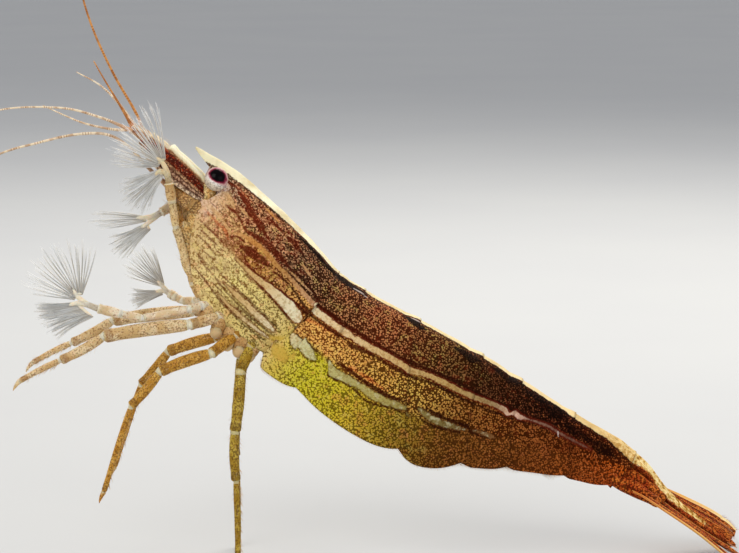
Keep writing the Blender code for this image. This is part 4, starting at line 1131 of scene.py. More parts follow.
def add_stalks(stalk_finish, base_finish, scale_finish, fringe_finish):
    """First feelers' stalks of three segments, second feelers' stalks, and the fringed scales between."""
    rng = np.random.default_rng(SEEDS["stalks"])
    for side, word in SIDES:
        pile = Pile()
        places = on_side(side, (-9.2, 0.98, 39.9), (-13.35, 0.98, 43.95), (-15.15, 0.98, 45.3),
                         (-16.95, 0.98, 46.35))
        add_limb(pile, places, (1, 0.66, 0.56), thick=0.72, sides=24, tapers=(0.95, 0.95, 0.85))
        thorn = np.linspace(0, 1, 10)
        path = np.array((-10.2, side * 1.6, 41.2)) + np.outer(thorn, (-2.3, side * 0.25, 1.6))
        add_tube(pile, path, 0.24 * (1 - thorn)**0.7 + 0.012, 0.16 * (1 - thorn)**0.7 + 0.012, along=thorn,
                 pale=thorn * 0.5)
        pile.piece(f"antennule_stalk_{word}", stalk_finish, "limb", f"antennule_base_{word}")

        pile = Pile()
        places = on_side(side, (-9.3, 1.9, 37.7), (-10.6, 2.2, 38.75), (-11.7, 2.33, 39.6),
                         (-13, 2.45, 40.45))
        add_limb(pile, places, (1, 1.05, 0.68), thick=0.8, sides=24, tapers=(1, 0.9, 0.8), start_limb=0.3)
        pile.piece(f"antenna_stalk_{word}", base_finish, "limb", f"antenna_base_{word}")

        places = on_side(side, (-9.3, 2.3, 39.4), (-11.75, 2.55, 41.65), (-14, 2.65, 43.65),
                         (-16, 2.45, 45.3))
        knots = smooth_rows(places, 14)
        share = np.linspace(0, 1, len(knots))
        half = np.interp(share, (0, 0.1, 0.35, 0.7, 0.9, 0.97, 1), (0.7, 1.05, 1.42, 1.32, 0.8, 0.4, 0.06))
        points, v = blade_grid(knots, half, 128 if side == LEFT else 52, 0.2, 25)
        points = points if side == LEFT else points[:, ::-1]
        shape = points.shape[:2]
        outer = np.broadcast_to(v if points[5, -1, 2] < points[5, 0, 2] else -v, shape)
        lift = 0.07 * hump(outer - 0.93, 0.08) + 0.05 * hump(outer - 0.45, 0.06)
        pile = Pile()
        add_shell(pile, points, lift, SCALE_THICKNESS,
                  {"across": outer, "along": np.broadcast_to(share[:, None], shape)})
        pile.piece(f"antenna_scale_blade_{word}", scale_finish, "tail_blade", f"antenna_scale_{word}")
        inner_edge = points[:, 0] if outer[0, 0] < 0 else points[:, -1]
        outward = inner_edge - knots
        fringe = Pile()
        add_fringe(fringe, inner_edge, outward, (-0.55, side * -0.1, 0.8), 56, (0.5, 0.9), rng, 0.016)
        fringe.piece(f"antenna_scale_fringe_{word}", fringe_finish, "bristle")


def add_fringe(pile, edge, outward, sweep, count, lengths, rng, girth, low=0, rows=7):
    """A row of bristles on an edge: they point outwards and sweep one way."""
    place = np.linspace(low, 1, count) * (len(edge) - 1)
    place = np.clip(place + rng.normal(0, 0.15, count), 0, len(edge) - 1.001)
    row = place.astype(int)
    part = (place - row)[:, None]
    roots = edge[row] * (1 - part) + edge[row + 1] * part
    out = unit(outward[row])
    aim = unit(out + np.array(sweep) + rng.normal(0, 0.05, (count, 3)))
    share = place / (len(edge) - 1)
    swell = np.sin(np.pi * np.clip(share, 0.05, 0.95))
    reach = (lengths[0] + (lengths[1] - lengths[0]) * swell) * rng.uniform(0.85, 1.1, count)
    t = np.linspace(0, 1, rows)[None, :, None]
    paths = (roots - out * 0.04)[:, None] + (aim * reach[:, None])[:, None] * t
    bend = np.cross(aim, np.array((0.2, 0.9, 0.3)))
    paths = paths + (bend * reach[:, None])[:, None] * 0.1 * t**2
    radii = girth * (1 - 0.75 * t[..., 0]) * rng.uniform(0.8, 1.1, (count, 1))
    roots_at = np.stack([0.02 + 0.95 * share, np.full(count, 0.5)], -1)
    add_bristles(pile, paths, radii, roots_at, rng.uniform(0, 1, count))


# Places that each feeler passes through, from its root to its tip.
FEELER_ROUTES = {
    "antennule_outer_left": ((-16.8, -1.2, 46.15), (-20.2, -1.5, 47.6), (-24.3, -1.9, 48.6),
                             (-30.5, -2.6, 48.4), (-36, -3.6, 46.2)),
    "antennule_inner_left": ((-16.8, -0.75, 46.5), (-17.9, -0.6, 48.4), (-19.8, -0.6, 51.6),
                             (-20.8, -0.6, 53.4)),
    "antennule_outer_right": ((-16.8, 1.2, 46.15), (-18.8, 1.8, 46), (-22.5, 3.6, 46.6), (-27, 6.4, 48.2)),
    "antennule_inner_right": ((-16.8, 0.75, 46.5), (-18.2, 1, 48.6), (-20.3, 1.8, 50.6), (-23, 3, 52)),
    "antenna_whip_left": ((-12.9, -2.4, 40.35), (-15.2, -2.3, 42.5), (-17.1, -2.4, 44.6),
                          (-19.4, -2.6, 45.9), (-22.6, -2.8, 45.9), (-26.3, -3.1, 45.1), (-30.5, -3.8, 43.9),
                          (-36, -5.4, 41), (-41, -7.4, 36.4)),
    "antenna_whip_right": ((-12.9, 2.5, 40.35), (-15.2, 3.3, 43.2), (-16.6, 3.5, 47.2), (-19.1, 3.6, 51.7),
                           (-21.2, 3.9, 56.3), (-22.5, 4.6, 60.5), (-23, 5.8, 65), (-22.4, 7.4, 69)),
}
# Each feeler's finish: colours of its pale and dark rings and of its root.
FEELER_LOOKS = (("feeler_pale", (236, 216, 186), (150, 104, 68), (206, 158, 120)),
                ("feeler_amber", (206, 146, 82), (134, 70, 26), (190, 120, 66)))


def make_feeler_finish(name, light, dark, base):
    """Hard rings on a thin whip: pale with darker groups of rings."""
    f = moist(name, roughness=0.34, specular_ior_level=0.12)
    ring = f.field("ring")
    patch = f.rise(f.noise(0.9, 2, 0.6), 0.42, 0.6)
    f.colour = f.mix(patch, light, f.mix(0.6, light, dark))
    f.cover(f.rise(ring, 0.45, 0.9) * 0.7, dark)
    f.cover(f.rise(f.field("along"), 0.12, 0), base)
    return f.done(f.noise(0.1), 0.01, Roughness=0.3 + ring * 0.2)


def add_feelers(finishes):
    """Four short ringed feelers on the first stalks and two long whips on the second."""
    for name, route in FEELER_ROUTES.items():
        whip = name.startswith("antenna_")
        rows = smooth_rows(route, 40)
        lengths = np.append(0, np.cumsum(np.linalg.norm(np.diff(rows, axis=0), axis=1)))
        ring_gap = 0.28 if whip else 0.24
        steps = np.arange(0, lengths[-1], ring_gap / 4)
        path = np.stack([np.interp(steps, lengths, rows[:, i]) for i in range(3)], -1)
        share = steps / lengths[-1]
        ring = 0.5 - 0.5 * np.cos(2 * np.pi * steps / ring_gap)
        group = 0.5 + 0.5 * np.sin(2 * np.pi * steps / (ring_gap * 9))
        thick = (0.17 if whip else 0.14) * (1 - 0.62 * share) + (0.2 if whip else 0.1) * np.exp(-steps / 1.3)
        girth = thick * (1 + 0.1 * (1 - ring))
        girth[-3:] *= (0.8, 0.55, 0.2)
        pile = Pile()
        add_tube(pile, path, girth, girth, 10, along=share, ring=ring * (0.35 + 0.65 * (group > 0.62)))
        finish = finishes[1 if name in ("antenna_whip_right", "antennule_inner_left") else 0]
        pile.piece(f"{name}_lash", finish, "feeler", name)


def add_mouth_legs(finish, bristle_finish):
    """The third mouth legs: long flat palps up the front of the face, hairy all round."""
    rng = np.random.default_rng(SEEDS["mouth_legs"])
    for side, word in SIDES:
        places = on_side(side, (-9.3, 1, 29.3), (-10.4, 1.3, 32), (-11.4, 1.35, 35.9), (-12.6, 1.2, 39.6))
        pile = Pile()
        bows = ((-0.15, 0, 0), (-0.2, 0, 0), (-0.15, 0, 0))
        rings = add_limb(pile, places, (0.74, 0.78, 0.66), thick=0.75, sides=20, bows=bows,
                         tapers=(1, 0.95, 0.4))
        palp = np.linspace(0, 1, 30)[:, None]
        whip = np.array((-10.3, side * 2.1, 30.2)) + palp * (-1.2, side * 0.25, 6.6)
        whip = whip + np.sin(np.pi * palp) * (-0.5, 0, 0)
        thin = 0.2 - 0.16 * palp[:, 0]
        add_tube(pile, whip, thin, thin, 8, along=palp[:, 0], pale=palp[:, 0])
        pile.piece(f"mouth_leg_{word}_palp", finish, "limb", f"mouth_leg_{word}")
        brush = Pile()
        for ring, count, length in zip(rings, (60, 110, 150), (0.7, 0.95, 1.15)):
            spread_bristles(brush, ring, rng, count, length, 0.45, 0.02)
        brush.piece(f"mouth_leg_{word}_brush", bristle_finish, "bristle")


# The front of the face from top to bottom: x, y, z, half depth, half width.
FACE = ((-7.6, 0, 40.6, 0.5, 1.2), (-8.6, 0, 40, 1.4, 2.2), (-9.6, 0, 38.6, 1.6, 2.6),
        (-10, 0, 36.8, 1.55, 2.75), (-10.1, 0, 34.6, 1.4, 2.7), (-9.9, 0, 32.2, 1.3, 2.5),
        (-9.3, 0, 30.2, 1.1, 2.2), (-8.3, 0, 28.8, 0.7, 1.4))
# Lobes of the jaws: x, y, z, half height, half depth.
JAW_LOBES = ((-10.5, 1, 37.4, 1.5, 1.3), (-10.7, 1.9, 34.9, 1.9, 1.05), (-10.5, 2.2, 32.6, 2, 1),
             (-9.7, 2.2, 30.8, 1.6, 1.1), (-9.7, 1.9, 39, 1.1, 1.3))


def add_mouth_plates(finish):
    """The front of the face, with overlapping lobes of the jaws before it."""
    pile = Pile()
    rows = smooth_rows(FACE, 9)
    share = np.linspace(0, 1, len(rows))
    crease = 1 - 0.05 * np.abs(np.sin(share * 15))**6
    add_tube(pile, rows[:, :3], rows[:, 3] * crease, rows[:, 4] * crease, 56, along=share,
             limb=np.full(len(rows), 0.5), pale=0.25 * np.abs(np.sin(share * 15))**6)
    for side, _ in SIDES:
        for x, y, z, height, depth in JAW_LOBES:
            turn = np.linspace(-0.49, 0.49, 20)
            path = np.outer(height * np.sin(np.pi * turn), (-0.25, side * 0.06, 0.96))
            path = np.array((x, side * y, z)) + path
            path[:, 0] -= 0.3 * np.cos(np.pi * turn)
            girth = np.cos(np.pi * turn)**0.8
            add_tube(pile, path, depth * girth + 0.01, 0.55 * girth + 0.01, 20, along=turn + 0.5,
                     pale=0.6 * np.abs(turn) * 2, limb=np.full(20, 0.5))
    pile.piece("jaw_lobes", finish, "underside")


# ---------------------------------------------------------------- feeding arms and their brushes

# Each arm: root in the breast, then the ends of its segments up to the palm.
ARMS = {
    "1_left": ((-8.9, -1.3, 29.2), (-9.7, -2.2, 28.7), (-10.5, -2.4, 30.3), (-12.25, -2.95, 36.2),
               (-12.6, -3.25, 38.9), (-12.9, -3.45, 40.9)),
    "1_right": ((-8.9, 1.3, 29.2), (-9.7, 1.9, 28.7), (-10.4, 2.2, 30.4), (-11.9, 2.3, 36.2),
                (-12.6, 1.95, 38.2), (-14.1, 1.5, 37.3)),
    "2_left": ((-8.2, -1.9, 28.2), (-9.7, -3, 28), (-10.9, -3.8, 27.8), (-15.6, -4.8, 27),
               (-17.9, -5.05, 27.5), (-20.2, -5.25, 28.1)),
    "2_right": ((-8.2, 1.9, 28.2), (-9.7, 2.8, 27.9), (-10.7, 3.5, 27.6), (-12, 4.1, 27.5),
                (-12.8, 4.5, 27.8), (-13.5, 4.8, 28.2)),
}
# Each brush: apex, heel (how far its root spreads), first and last angle, length, sideways lean. Angles are
# in degrees and turn upwards from the direction of the tail.
BRUSHES = {
    "1_left_upper": ((-13.2, -3.6, 42.8), (-0.2, 0, -0.1), 93, 186, 6.4, -1.2),
    "1_left_lower": ((-13.4, -3.6, 42.5), (0.2, 0, -0.4), 198, 240, 5.5, -0.8),
    "1_right_upper": ((-15.3, 1.2, 36.8), (0.2, 0, -0.3), 168, 194, 6.6, -0.8),
    "1_right_lower": ((-15.2, 1.2, 36.4), (0.3, 0, -0.5), 204, 226, 5.4, 0.6),
    "2_left_upper": ((-22.1, -5.4, 29), (0.1, 0, 0), 66, 174, 6.8, -1),
    "2_left_lower": ((-22, -5.4, 28.8), (1.7, 0, -1.3), 186, 206, 5.6, 0.9),
    "2_right_upper": ((-14, 4.9, 28.7), (0, 0, 0.2), 102, 168, 5.4, 1.2),
    "2_right_lower": ((-14.2, 4.9, 28.5), (0.2, 0, -0.3), 178, 202, 3.8, -0.8),
}


def heading(degrees):
    """The direction at this angle, turning upwards from the direction of the tail."""
    return np.stack([np.cos(np.radians(degrees)), 0 * np.asarray(degrees, float),
                     np.sin(np.radians(degrees))], -1)


def add_arms(finish, near_finish):
    """Four arms of slim segments, each with a palm and two curved fingers; the first left one is tanner."""
    for name, places in ARMS.items():
        pile = Pile()
        add_limb(pile, places, (0.55, 0.5, 0.44, 0.42, 0.52), thick=0.85, sides=18)
        palm = np.array(places[-1])
        way = unit(palm - np.array(places[-2]))
        for part in ("upper", "lower"):
            apex, heel, first, last, reach, _ = BRUSHES[f"{name}_{part}"]
            middle = heading((first + last) / 2)
            knots = smooth_rows((palm - way * 0.5, palm + way * 0.15, (palm + way * 0.5 + apex) / 2,
                                 np.array(apex) + middle * 0.5, np.array(apex) + middle * reach * 0.22), 7)
            share = np.linspace(0, 1, len(knots))
            girth = np.interp(share, (0, 0.15, 0.5, 0.9, 1), (0.3, 0.36, 0.3, 0.2, 0.08))
            add_tube(pile, knots, girth, girth * 0.8, 14, along=share, pale=0.35 + 0.4 * share,
                     limb=np.ones(len(knots)))
            angles = np.linspace(first + 3, last - 3, 24)
            arc = np.array(apex) + np.outer(np.linspace(0, 1, 24), heel) + heading(angles) * reach * 0.1
            rim = 0.15 * np.sin(np.pi * np.linspace(0.08, 0.92, 24))**0.5
            add_tube(pile, arc, rim, rim, 10, pale=np.full(24, 0.8), limb=np.ones(24), along=np.ones(24))
        pile.piece(f"feeding_arm_{name}_shell", near_finish if name == "1_left" else finish, "limb",
                   f"feeding_arm_{name}")


def add_brushes(finish):
    """Eight fans of long bristles in narrow rays, closer together in the lower fans."""
    rows = 11
    t = np.linspace(0, 1, rows)
    for number, (name, (apex, heel, first, last, reach, lean)) in enumerate(BRUSHES.items()):
        rng = np.random.default_rng(SEEDS["brushes"] + number)
        lower = name.endswith("lower")
        each, more, per_mm = (13, 5, 8) if lower else (8, 2, 3)
        rays = int(abs(last - first) / 5.6 + np.linalg.norm(heel) * per_mm) + more
        ray = np.repeat(np.arange(rays), each)
        count = len(ray)
        share = (ray + 0.5) / rays
        spread = rng.normal(0, 0.2 if lower else 0.06, count) / rays
        angle = first + (last - first) * (share + spread)
        length = reach * (0.93 + 0.07 * np.sin(ray * 2.4)) * rng.uniform(0.86, 1.03, count)
        length *= 1 - 0.12 * np.abs(2 * share - 1)**2
        if name == "1_left_upper":
            length *= 1 + 0.22 * ease(share, 0.3, 0.08)
        bend = rng.normal(0, 1.1, count) + (8 if lower else -7) * (share - 0.45)
        bend = bend + rng.normal(0, 1.2, rays)[ray]
        start = 0.09 * reach
        paths = np.zeros((count, rows, 3))
        for i, place in enumerate(t):
            out = start + (length - start) * place
            root = np.array(apex) + np.outer(share + spread, heel)
            paths[:, i] = root + heading(angle + bend * place**2) * out[:, None]
            paths[:, i, 1] += lean * (out / reach)**1.6 + 0.5 * np.cos(np.pi * share) * out / reach
        paths += rng.normal(0, 0.035, (count, 1, 3)) + rng.normal(0, 0.03, (count, 1, 3)) * t[None, :, None]
        radii = (0.036 * (1 - 0.66 * t))[None, :] * rng.uniform(0.8, 1.15, (count, 1))
        roots = np.stack([0.03 + 0.92 * share, 0.2 + 0.6 * rng.uniform(0, 1, count)], -1)
        pile = Pile()
        add_bristles(pile, paths, radii, roots, rng.uniform(0, 1, count))
        pile.piece(f"brush_{name}", finish, "bristle", f"fan_{name}")


# ---------------------------------------------------------------- walking legs

# Where each leg starts, then ischium, merus, carpus, propodus and claw: length, pitch, outward reach,
# half width.
WALKING_LEGS = {
    "3": ((-8.2, 2.9, 26.4), ((2.6, 182, 1.8, 0.6), (8.9, 187, 0.8, 0.74), (5.1, 209, 0.1, 0.54),
                              (4.8, 207, 0, 0.36), (1.2, 222, 0, 0.27))),
    "4": ((-6.6, 3, 24.4), ((2.2, 207, 2.3, 0.6), (5.5, 198, 0.9, 0.66), (4.7, 230, 0.2, 0.54),
                            (9.6, 252, -0.1, 0.36), (1.2, 235, 0, 0.27))),
    "5": ((-5, 3, 23.2), ((1.9, 252, 2.1, 0.6), (6.1, 265, 0.9, 0.62), (5.1, 271, 0.4, 0.54),
                          (8.2, 271, 0.3, 0.38), (2.1, 259, 0.1, 0.34))),
}
# The last right leg stands a little ahead of the left one.
RIGHT_LAST_LEG = ((-5.35, 3, 23.2), ((1.9, 252, 2.1, 0.6), (6.1, 265, 0.9, 0.62), (5.1, 268, 0.4, 0.54),
                                     (8.2, 271, 0.3, 0.38), (2.1, 267, 0.1, 0.34)))


def add_claw(pile, start, way, length, girth, down):
    """The hooked last joint of a leg, dark at its tip."""
    share = np.linspace(0, 1, 16)
    path = start + np.outer(share * length, way) + np.outer(share**2 * length * 0.22, down)
    radius = girth * (1 - share)**0.75 + 0.02
    return add_tube(pile, path, radius, radius * 0.8, 12, along=share, pale=0.5 * (1 - share),
                    band=ease(share, 0.7, 1), limb=np.ones(16))


# Soft hips that the limbs spring from, between the carapace and the legs: top, lower end, half width.
HIPS = (((-8.6, 2.4, 28.1), (-9.5, 3.2, 26.5), 0.8), ((-7.4, 2.5, 26.9), (-8.15, 3.3, 25.3), 0.85),
        ((-6.3, 2.5, 25.9), (-7, 3.3, 24), 0.9), ((-5.2, 2.5, 24.9), (-5.8, 3.3, 23.3), 0.9),
        ((-4, 2.5, 24.1), (-4.8, 3.2, 22.7), 0.85))


def add_hips(finish):
    """Soft pale hips in a row on each side, each a short rounded barrel."""
    for side, word in SIDES:
        pile = Pile()
        for top, end, girth in HIPS:
            top, end = np.array(on_side(side, top, end))
            add_segment(pile, top, end, girth, girth * 0.8, sides=24, bow=(-0.12, 0, -0.1), rows=26,
                        taper=0.8)
            add_knuckle(pile, end, unit(end - top), girth * 0.74)
        pile.piece(f"hips_{word}", finish, "limb")


def add_legs(finishes, bristle_finish):
    """Three pairs of walking legs from the breast to the claws, with sparse hairs and a comb of spines."""
    for side, word in SIDES:
        legs = WALKING_LEGS if side == LEFT else {**WALKING_LEGS, "5": RIGHT_LAST_LEG}
        for number, (base, segments) in legs.items():
            rng = np.random.default_rng(SEEDS["legs"] + int(number) + side)
            place = np.array(base, float) * (1, side, 1)
            inner = place + (1.7, -0.9 * side, 1.9)
            places = [inner, place + (0.35, -0.1 * side, 0.45)]
            girths = [0.95]
            for length, pitch, outward, radius in segments[:-1]:
                step = heading(pitch) * length + (0, outward * side, 0)
                place = place + step
                places.append(place)
                girths.append(radius)
            bow = np.array((0, 0, 0.12)) if number != "5" else np.array((0.1, 0, 0))
            pile = Pile()
            bows = [bow * share for share in (0, 0, 1, -1.3, 0.8)]
            rings = add_limb(pile, places, girths, thick=0.84, sides=20, bows=bows,
                             tapers=(0.75, 1, 0.95, 0.92, 0.8))
            length, pitch, outward, radius = segments[-1]
            way = heading(pitch)
            claw = add_claw(pile, place, way, length * 1.04, radius * 0.95, unit(np.cross(way, (0, 1, 0))))
            pile.keep_above()
            pile.piece(f"leg_{number}_{word}_shell", finishes[number], "limb", f"leg_{number}_{word}")
            hairs = Pile()
            for ring, count, reach in zip(rings[1:], (10, 34, 30, 36), (0.5, 0.55, 0.6, 0.5)):
                spread_bristles(hairs, ring, rng, count, reach, 0.45, 0.016)
            spread_bristles(hairs, rings[-1], rng, 16, 0.5, 0.55, 0.035, low=0.2, faces=np.arange(-1, 2))
            spread_bristles(hairs, claw, rng, 14, 0.22, 0.4, 0.02, low=0.1, high=0.8)
            hairs.keep_above()
            hairs.piece(f"leg_{number}_{word}_hairs", bristle_finish, "bristle")


# ---------------------------------------------------------------- swimmerets and tail fan

def add_swimmerets(finish, bristle_finish):
    """Five pairs of two-bladed paddles folded back between the side plates, fringed all round."""
    fringe = Pile()
    for number, length in enumerate((3.4, 5.2, 5.2, 4.4, 2.6), start=1):
        start = (joint_at(number - 1, 0.72) + joint_at(number, 0.72)) / 2
        half = float(TAIL(start)[4])
        for side, word in SIDES:
            rng = np.random.default_rng(SEEDS["swimmerets"] + number * 2 + side)
            pile = Pile()
            hip = TAIL.place(start - 0.3, 0.7, half * 0.42 * side)
            knee = TAIL.place(start + length * 0.18, 0.82, half * 0.44 * side)
            add_segment(pile, hip, knee, 0.55, 0.4, sides=16)
            for blade, (sideways, drop, reach) in enumerate(((0.32, 0, 1), (-0.34, -0.012, 0.82))):
                t = np.linspace(0, 1, 26)
                across = half * 0.44 + sideways * np.sin(np.pi * np.minimum(t * 0.7 + 0.15, 1))
                path = TAIL.place(start + length * (0.14 + 0.95 * reach * t), 0.815 + (0.125 + drop) * t,
                                  across * side)
                wide = 0.62 * np.sin(np.pi * (0.12 + 0.85 * t))**0.7 * (0.9 if blade else 1)
                rings = add_tube(pile, path, wide, 0.1 + 0.04 * (1 - t), 16, along=t, pale=0.3 * t,
                                 limb=np.ones(26))
                for edge in (rings[:, 0], rings[:, 8]):
                    add_fringe(fringe, edge, edge - path, (0.9, 0, -0.45), 46, (0.5, 0.95), rng, 0.014,
                               low=0.15, rows=6)
            pile.piece(f"paddle_{number}_{word}", finish, "swimmeret", f"swimmeret_{number}_{word}")
    fringe.piece("paddle_fringe", bristle_finish, "bristle")


# The middle blade of the tail fan from front to back: x, y, z and half width.
TELSON = ((34.6, 0, 11.75, 1.5), (35.75, 0, 10.9, 1.75), (37, 0, 9.8, 1.65), (38.6, 0, 7.8, 1.5),
          (40.4, 0, 6, 1.35), (42.8, 0, 4.2, 1.15), (45.2, 0, 2.7, 0.9), (46.4, 0, 1.95, 0.5),
          (46.7, 0, 1.75, 0.1))
# Each blade: how far its outer edge is raised in degrees, then x, y, z and half width.
BLADES = {
    "tail_fan_inner_left": (2, ((35.9, -1.5, 8.8, 0.4), (36.9, -1.9, 8.2, 0.6), (38.7, -2.4, 6.9, 0.95),
            (42.4, -3.05, 4.25, 1.2), (45.6, -3.1, 2.2, 1.16), (46.9, -3.1, 1.5, 0.6))),
    "tail_fan_outer_left": (3, ((35.6, -2.6, 8.3, 0.5), (36.6, -3.2, 7.9, 0.75), (38.4, -4.5, 6.9, 1.1),
            (42, -5.85, 4.6, 1.4), (45.8, -6.2, 1.5, 1.42), (47.3, -6.25, 0.4, 1.14),
            (48.2, -6.25, 0.2, 0.55))),
    "tail_fan_inner_right": (18, ((35.9, 1.5, 9, 0.4), (36.9, 1.9, 8.45, 0.6), (38.9, 2.6, 7.05, 0.96),
            (42.5, 3.1, 4.6, 1.2), (45.5, 3.2, 2.8, 1.16), (46.8, 3.2, 2.05, 0.6))),
    "tail_fan_outer_right": (28, ((35.6, 2.6, 8.5, 0.5), (36.6, 3.2, 8.05, 0.7), (38.7, 4.6, 6.75, 1),
            (41.6, 5.6, 5.1, 1.35), (44.6, 6, 3.45, 1.5), (46.4, 6.1, 2.35, 1.3), (47.5, 6.1, 1.7, 0.6))),
}


def make_blade_finish():
    """Rust and brown blades of the tail fan with cream ridges and outer edges."""
    f = moist("tail_blade", roughness=0.36, subsurface_weight=0.2)
    fray = f.noise(0.3, 3, 0.6) - 0.5
    streak = f.noise(0.7, 4, 0.65)
    along, outer = f.field("along"), f.field("across") + fray * 0.14
    f.colour = f.ramp(along, (0, 146, 66, 26), (0.35, 170, 70, 26), (0.7, 158, 62, 24), (1, 186, 106, 48))
    f.cover(f.rise(streak, 0.46, 0.6) * 0.7, (222, 128, 50))
    f.cover(f.specks(0.15, 0.42) * 0.85, (60, 14, 4))
    rib = f.rise(f.field("rib") + fray * 0.3, 0.45, 0.75)
    f.cover(rib * 0.5, (226, 150, 78))
    edge = f.rise(outer, 0.72, 0.84)
    f.cover(edge * 0.9, f.ramp(along, (0.2, 222, 138, 66), (0.5, 238, 178, 100), (0.8, 246, 216, 156)))
    f.cover(f.rise(outer, 0.5, 0.66) * (1 - edge) * 0.7, (70, 18, 6))
    pale = f.field("pale")
    crust = f.ramp(f.noise(0.5, 3, 0.65) + (pale - 0.5) * 0.1 - along * 0.08, (0.34, 110, 66, 24),
                   (0.44, 190, 142, 62), (0.56, 236, 206, 138), (0.7, 248, 228, 174))
    f.cover(f.rise(pale + fray * 0.7, 0.4, 0.65), crust)
    return f.done(rib * 0.6 + streak * 0.4 + f.noise(0.14) * 0.3, 0.05, Roughness=0.3 + streak * 0.22)


def add_tail_fan(finish, bristle_finish):
    """The telson and four blades with ribs and sutures, all fringed behind, on two short bases."""
    for side, word in SIDES:
        rng = np.random.default_rng(SEEDS["tail_blades"] + side)
        for part in ("inner", "outer"):
            name = f"tail_fan_{part}_{word}"
            raised, knots = BLADES[name]
            rows = smooth_rows(knots, 14)
            share = np.linspace(0, 1, len(rows))
            path, half = rows[:, :3], np.maximum(rows[:, 3], 0.05)
            points, v = blade_grid(path, half, raised * side, 0.16, 33)
            outer = np.broadcast_to(v * side, points.shape[:2])
            spread = np.broadcast_to(share[:, None], outer.shape)
            rib = hump(outer - 0.05, 0.09) + 0.7 * hump(outer - 0.45 * spread, 0.05)
            rib += 0.6 * hump(outer + 0.4 * spread, 0.05)
            rib *= ease(spread, 0.02, 0.15) * ease(spread, 0.98, 0.8)
            lift = 0.1 * rib + 0.09 * ease(outer, 0.82, 0.96)
            if part == "outer":
                lift = lift - 0.08 * hump(spread - 0.74 - 0.05 * outer, 0.015)
            pile = Pile()
            width = {"tail_fan_outer_left": 1.26, "tail_fan_outer_right": 1.3}.get(name, 0.75)
            width = width * (1 if side == LEFT else 0.5 + 0.5 * ease(spread, 0.3, 0.55))
            fields = {"across": outer * width, "along": spread, "rib": np.clip(rib, 0, 1)}
            add_shell(pile, points, lift, BLADE_THICKNESS, fields)
            pile.keep_above()
            pile.piece(f"{name}_blade", finish, "tail_blade", name)
            fringe = Pile()
            inner_edge = points[:, 0] if side == RIGHT else points[:, -1]
            outer_edge = points[:, -1] if side == RIGHT else points[:, 0]
            back = (0.75, 0, -0.5)
            add_fringe(fringe, inner_edge, inner_edge - path, back, 80, (0.4, 0.8), rng, 0.016, low=0.3)
            add_fringe(fringe, outer_edge, outer_edge - path, back, 50, (0.4, 0.9), rng, 0.018, low=0.76)
            fringe.keep_above(0.01)
            fringe.piece(f"{name}_fringe", bristle_finish, "bristle")
        base = Pile()
        lift = 0.15 * (side == RIGHT)
        add_segment(base, (33.4, 1.15 * side, 9.6), (38.3, 3.7 * side, 7.15 + lift), 1.08, 0.95, sides=28,
                    rows=30, taper=0.5)
        add_segment(base, (34, 0.95 * side, 10.6), (39, 2.3 * side, 7.3 + lift), 0.95, 0.85, sides=28,
                    rows=30, taper=0.45)
        # The other fields of a limb would give the bases the telson's pale crust.
        base.fields = [{key: spread[key] for key in ("along", "band")} for spread in base.fields]
        base.piece(f"tail_fan_base_{word}", finish, "tail_blade")

    rows = smooth_rows(TELSON, 14)
    share = np.linspace(0, 1, len(rows))
    path, half = rows[:, :3], np.maximum(rows[:, 3], 0.05)
    arch = np.interp(share, (0, 0.3, 0.6, 1), (0.5, 0.42, 0.42, 0.3))[:, None, None]
    points, v = blade_grid(path, half, 0, arch, 41)
    across = np.broadcast_to(np.abs(v), points.shape[:2])
    spread = np.broadcast_to(share[:, None], across.shape)
    lift = 0.14 * hump(across, 0.14) - 0.06 * hump(across - 0.45, 0.12)
    crust = 0.62 - 0.2 * spread + 0.07 * np.sin(spread * 19)
    pale = np.clip(2 - across / crust, 0, 1) * ease(spread, 0.9, 0.4)
    pile = Pile()
    depth = np.interp(share, (0, 0.35, 0.7, 1), (1.7, 1.3, 0.6, 0.3))[:, None]
    add_shell(pile, points, lift, depth, {"across": across * 0.62, "along": spread, "pale": pale})
    for at in (0.42, 0.56, 0.7):
        for side in (LEFT, RIGHT):
            row = int(at * (len(path) - 1))
            root = path[row] + (0, side * half[row] * 0.55, 0.12)
            thorn = np.linspace(0, 1, 7)
            add_tube(pile, root + np.outer(thorn, (0.42, 0, -0.12)), 0.06 * (1 - thorn) + 0.008,
                     0.06 * (1 - thorn) + 0.008, 8, along=np.full(7, at), pale=np.ones(7))
    pile.piece("telson_blade", finish, "tail_blade", "telson")
    rng = np.random.default_rng(SEEDS["telson"])
    fringe = Pile()
    for edge in (points[:, 0], points[:, -1]):
        add_fringe(fringe, edge, edge - path, (0.8, 0, -0.65), 40, (0.3, 0.8), rng, 0.02, low=0.8)
    fringe.piece("telson_fringe", bristle_finish, "bristle")


def add_hem_hairs(finish):
    """Short hairs along the lower edges of the tail's first five pairs of side plates."""
    rng = np.random.default_rng(SEEDS["hems"])
    pile = Pile()
    turn = np.array([0.985, 1])
    for number in range(1, 6):
        share, grid_turn = np.meshgrid(np.linspace(0.06, 0.94, 60), turn, indexing="ij")
        for side, _ in SIDES:
            points = plate_grid(number, share, grid_turn * side)[3]
            edge = points[:, 1] * (1, 0.985, 1)
            add_fringe(pile, edge, edge - points[:, 0], (0.35, 0, -0.2), 130, (0.28, 0.42), rng, 0.011,
                       rows=5)
    pile.piece("plate_hem_hairs", finish, "bristle")


# ---------------------------------------------------------------- light and camera

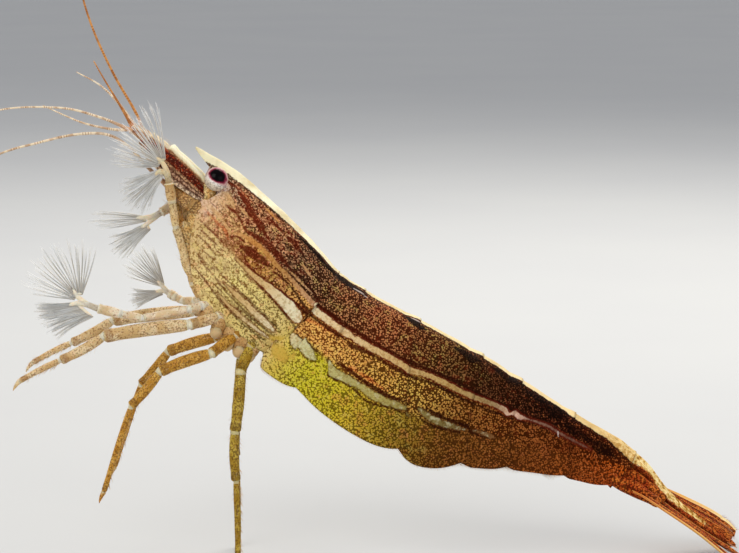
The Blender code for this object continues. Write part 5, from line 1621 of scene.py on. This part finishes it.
def add_stage():
    """A pale floor, the light of the air and three soft lamps."""
    f = Finish("studio_floor", roughness=0.85)
    f.colour = f.ramp(f.noise(60, 3), (0.3, 198, 199, 200), (0.7, 201, 202, 202))
    mesh = bpy.data.meshes.new("studio_floor")
    reach = 4
    mesh.from_pydata([(-reach, -reach, 0), (reach, -reach, 0), (reach, reach, 0), (-reach, reach, 0)], [],
                     [(0, 1, 2, 3)])
    mesh.materials.append(f.done(f.noise(1.5, 3), 0.004))
    put("studio_floor", mesh)

    world = bpy.data.worlds.new("studio_air")
    world.use_nodes = True
    world.node_tree.nodes["Background"].inputs["Color"].default_value = (0.88, 0.89, 0.92, 1)
    world.node_tree.nodes["Background"].inputs["Strength"].default_value = 0.6
    bpy.context.scene.world = world
    # Name, place in metres, size, power in watts, colour; each light looks at the middle of the animal.
    lights = (
        ("key_light", (-0.2, -0.34, 0.36), 0.3, 1.1, (1, 0.97, 0.92)),
        ("back_light", (0.1, 0.24, 0.34), 0.26, 1.3, (1, 0.96, 0.88)),
        ("fill_light", (0.34, -0.36, 0.14), 0.34, 0.4, (0.93, 0.96, 1)),
    )
    for name, place, size, power, colour in lights:
        lamp = bpy.data.lights.new(name, "AREA")
        lamp.size = size
        lamp.energy = power
        lamp.color = colour
        obj = put(name, lamp)
        obj.location = place
        aim = np.array([0, 0, 0.03]) - np.array(place)
        obj.rotation_euler = (math.acos(-aim[2] / np.linalg.norm(aim)), 0, math.atan2(-aim[0], aim[1]))


def add_camera():
    """The view from the animal's left, a little above the floor."""
    elevation = math.radians(8)
    distance, frame_width, sensor = 0.3, 0.0776, 36
    aim_x, aim_z = 0.0042625, 0.0307033
    data = bpy.data.cameras.new("camera")
    data.sensor_width = sensor
    data.lens = sensor * distance / frame_width
    data.clip_start = 0.01
    camera = put("camera", data)
    camera.location = (aim_x, -distance * math.cos(elevation), aim_z + distance * math.sin(elevation))
    camera.rotation_euler = (math.pi / 2 - elevation, 0, 0)
    bpy.context.scene.camera = camera


def main():
    bpy.context.scene.view_settings.view_transform = "Standard"
    shell = make_shell_finish()
    add_carapace(shell)
    add_plates(shell)
    add_skin(make_flesh_finish())
    add_eyes(make_eye_finish(), make_stalk_finish())

    gold_bristle, white_bristle, rust_bristle = (make_bristle_finish(*look) for look in BRISTLE_LOOKS)
    limbs = {name: make_limb_finish(name, *look) for name, look in LIMB_LOOKS.items()}
    add_stalks(make_head_limb_finish(), limbs["feeler_base"], make_scale_finish(), gold_bristle)
    add_feelers([make_feeler_finish(*look) for look in FEELER_LOOKS])
    add_mouth_legs(limbs["amber_palp"], gold_bristle)
    add_mouth_plates(limbs["face"])
    add_arms(limbs["glassy_arm"], limbs["tan_arm"])
    add_brushes(white_bristle)
    add_hips(limbs["soft_hip"])
    add_legs({"3": limbs["leg_tan"], "4": limbs["leg_amber"], "5": limbs["leg_olive"]}, gold_bristle)
    add_swimmerets(limbs["amber_palp"], gold_bristle)
    add_tail_fan(make_blade_finish(), rust_bristle)
    add_hem_hairs(gold_bristle)
    add_stage()
    add_camera()


main()
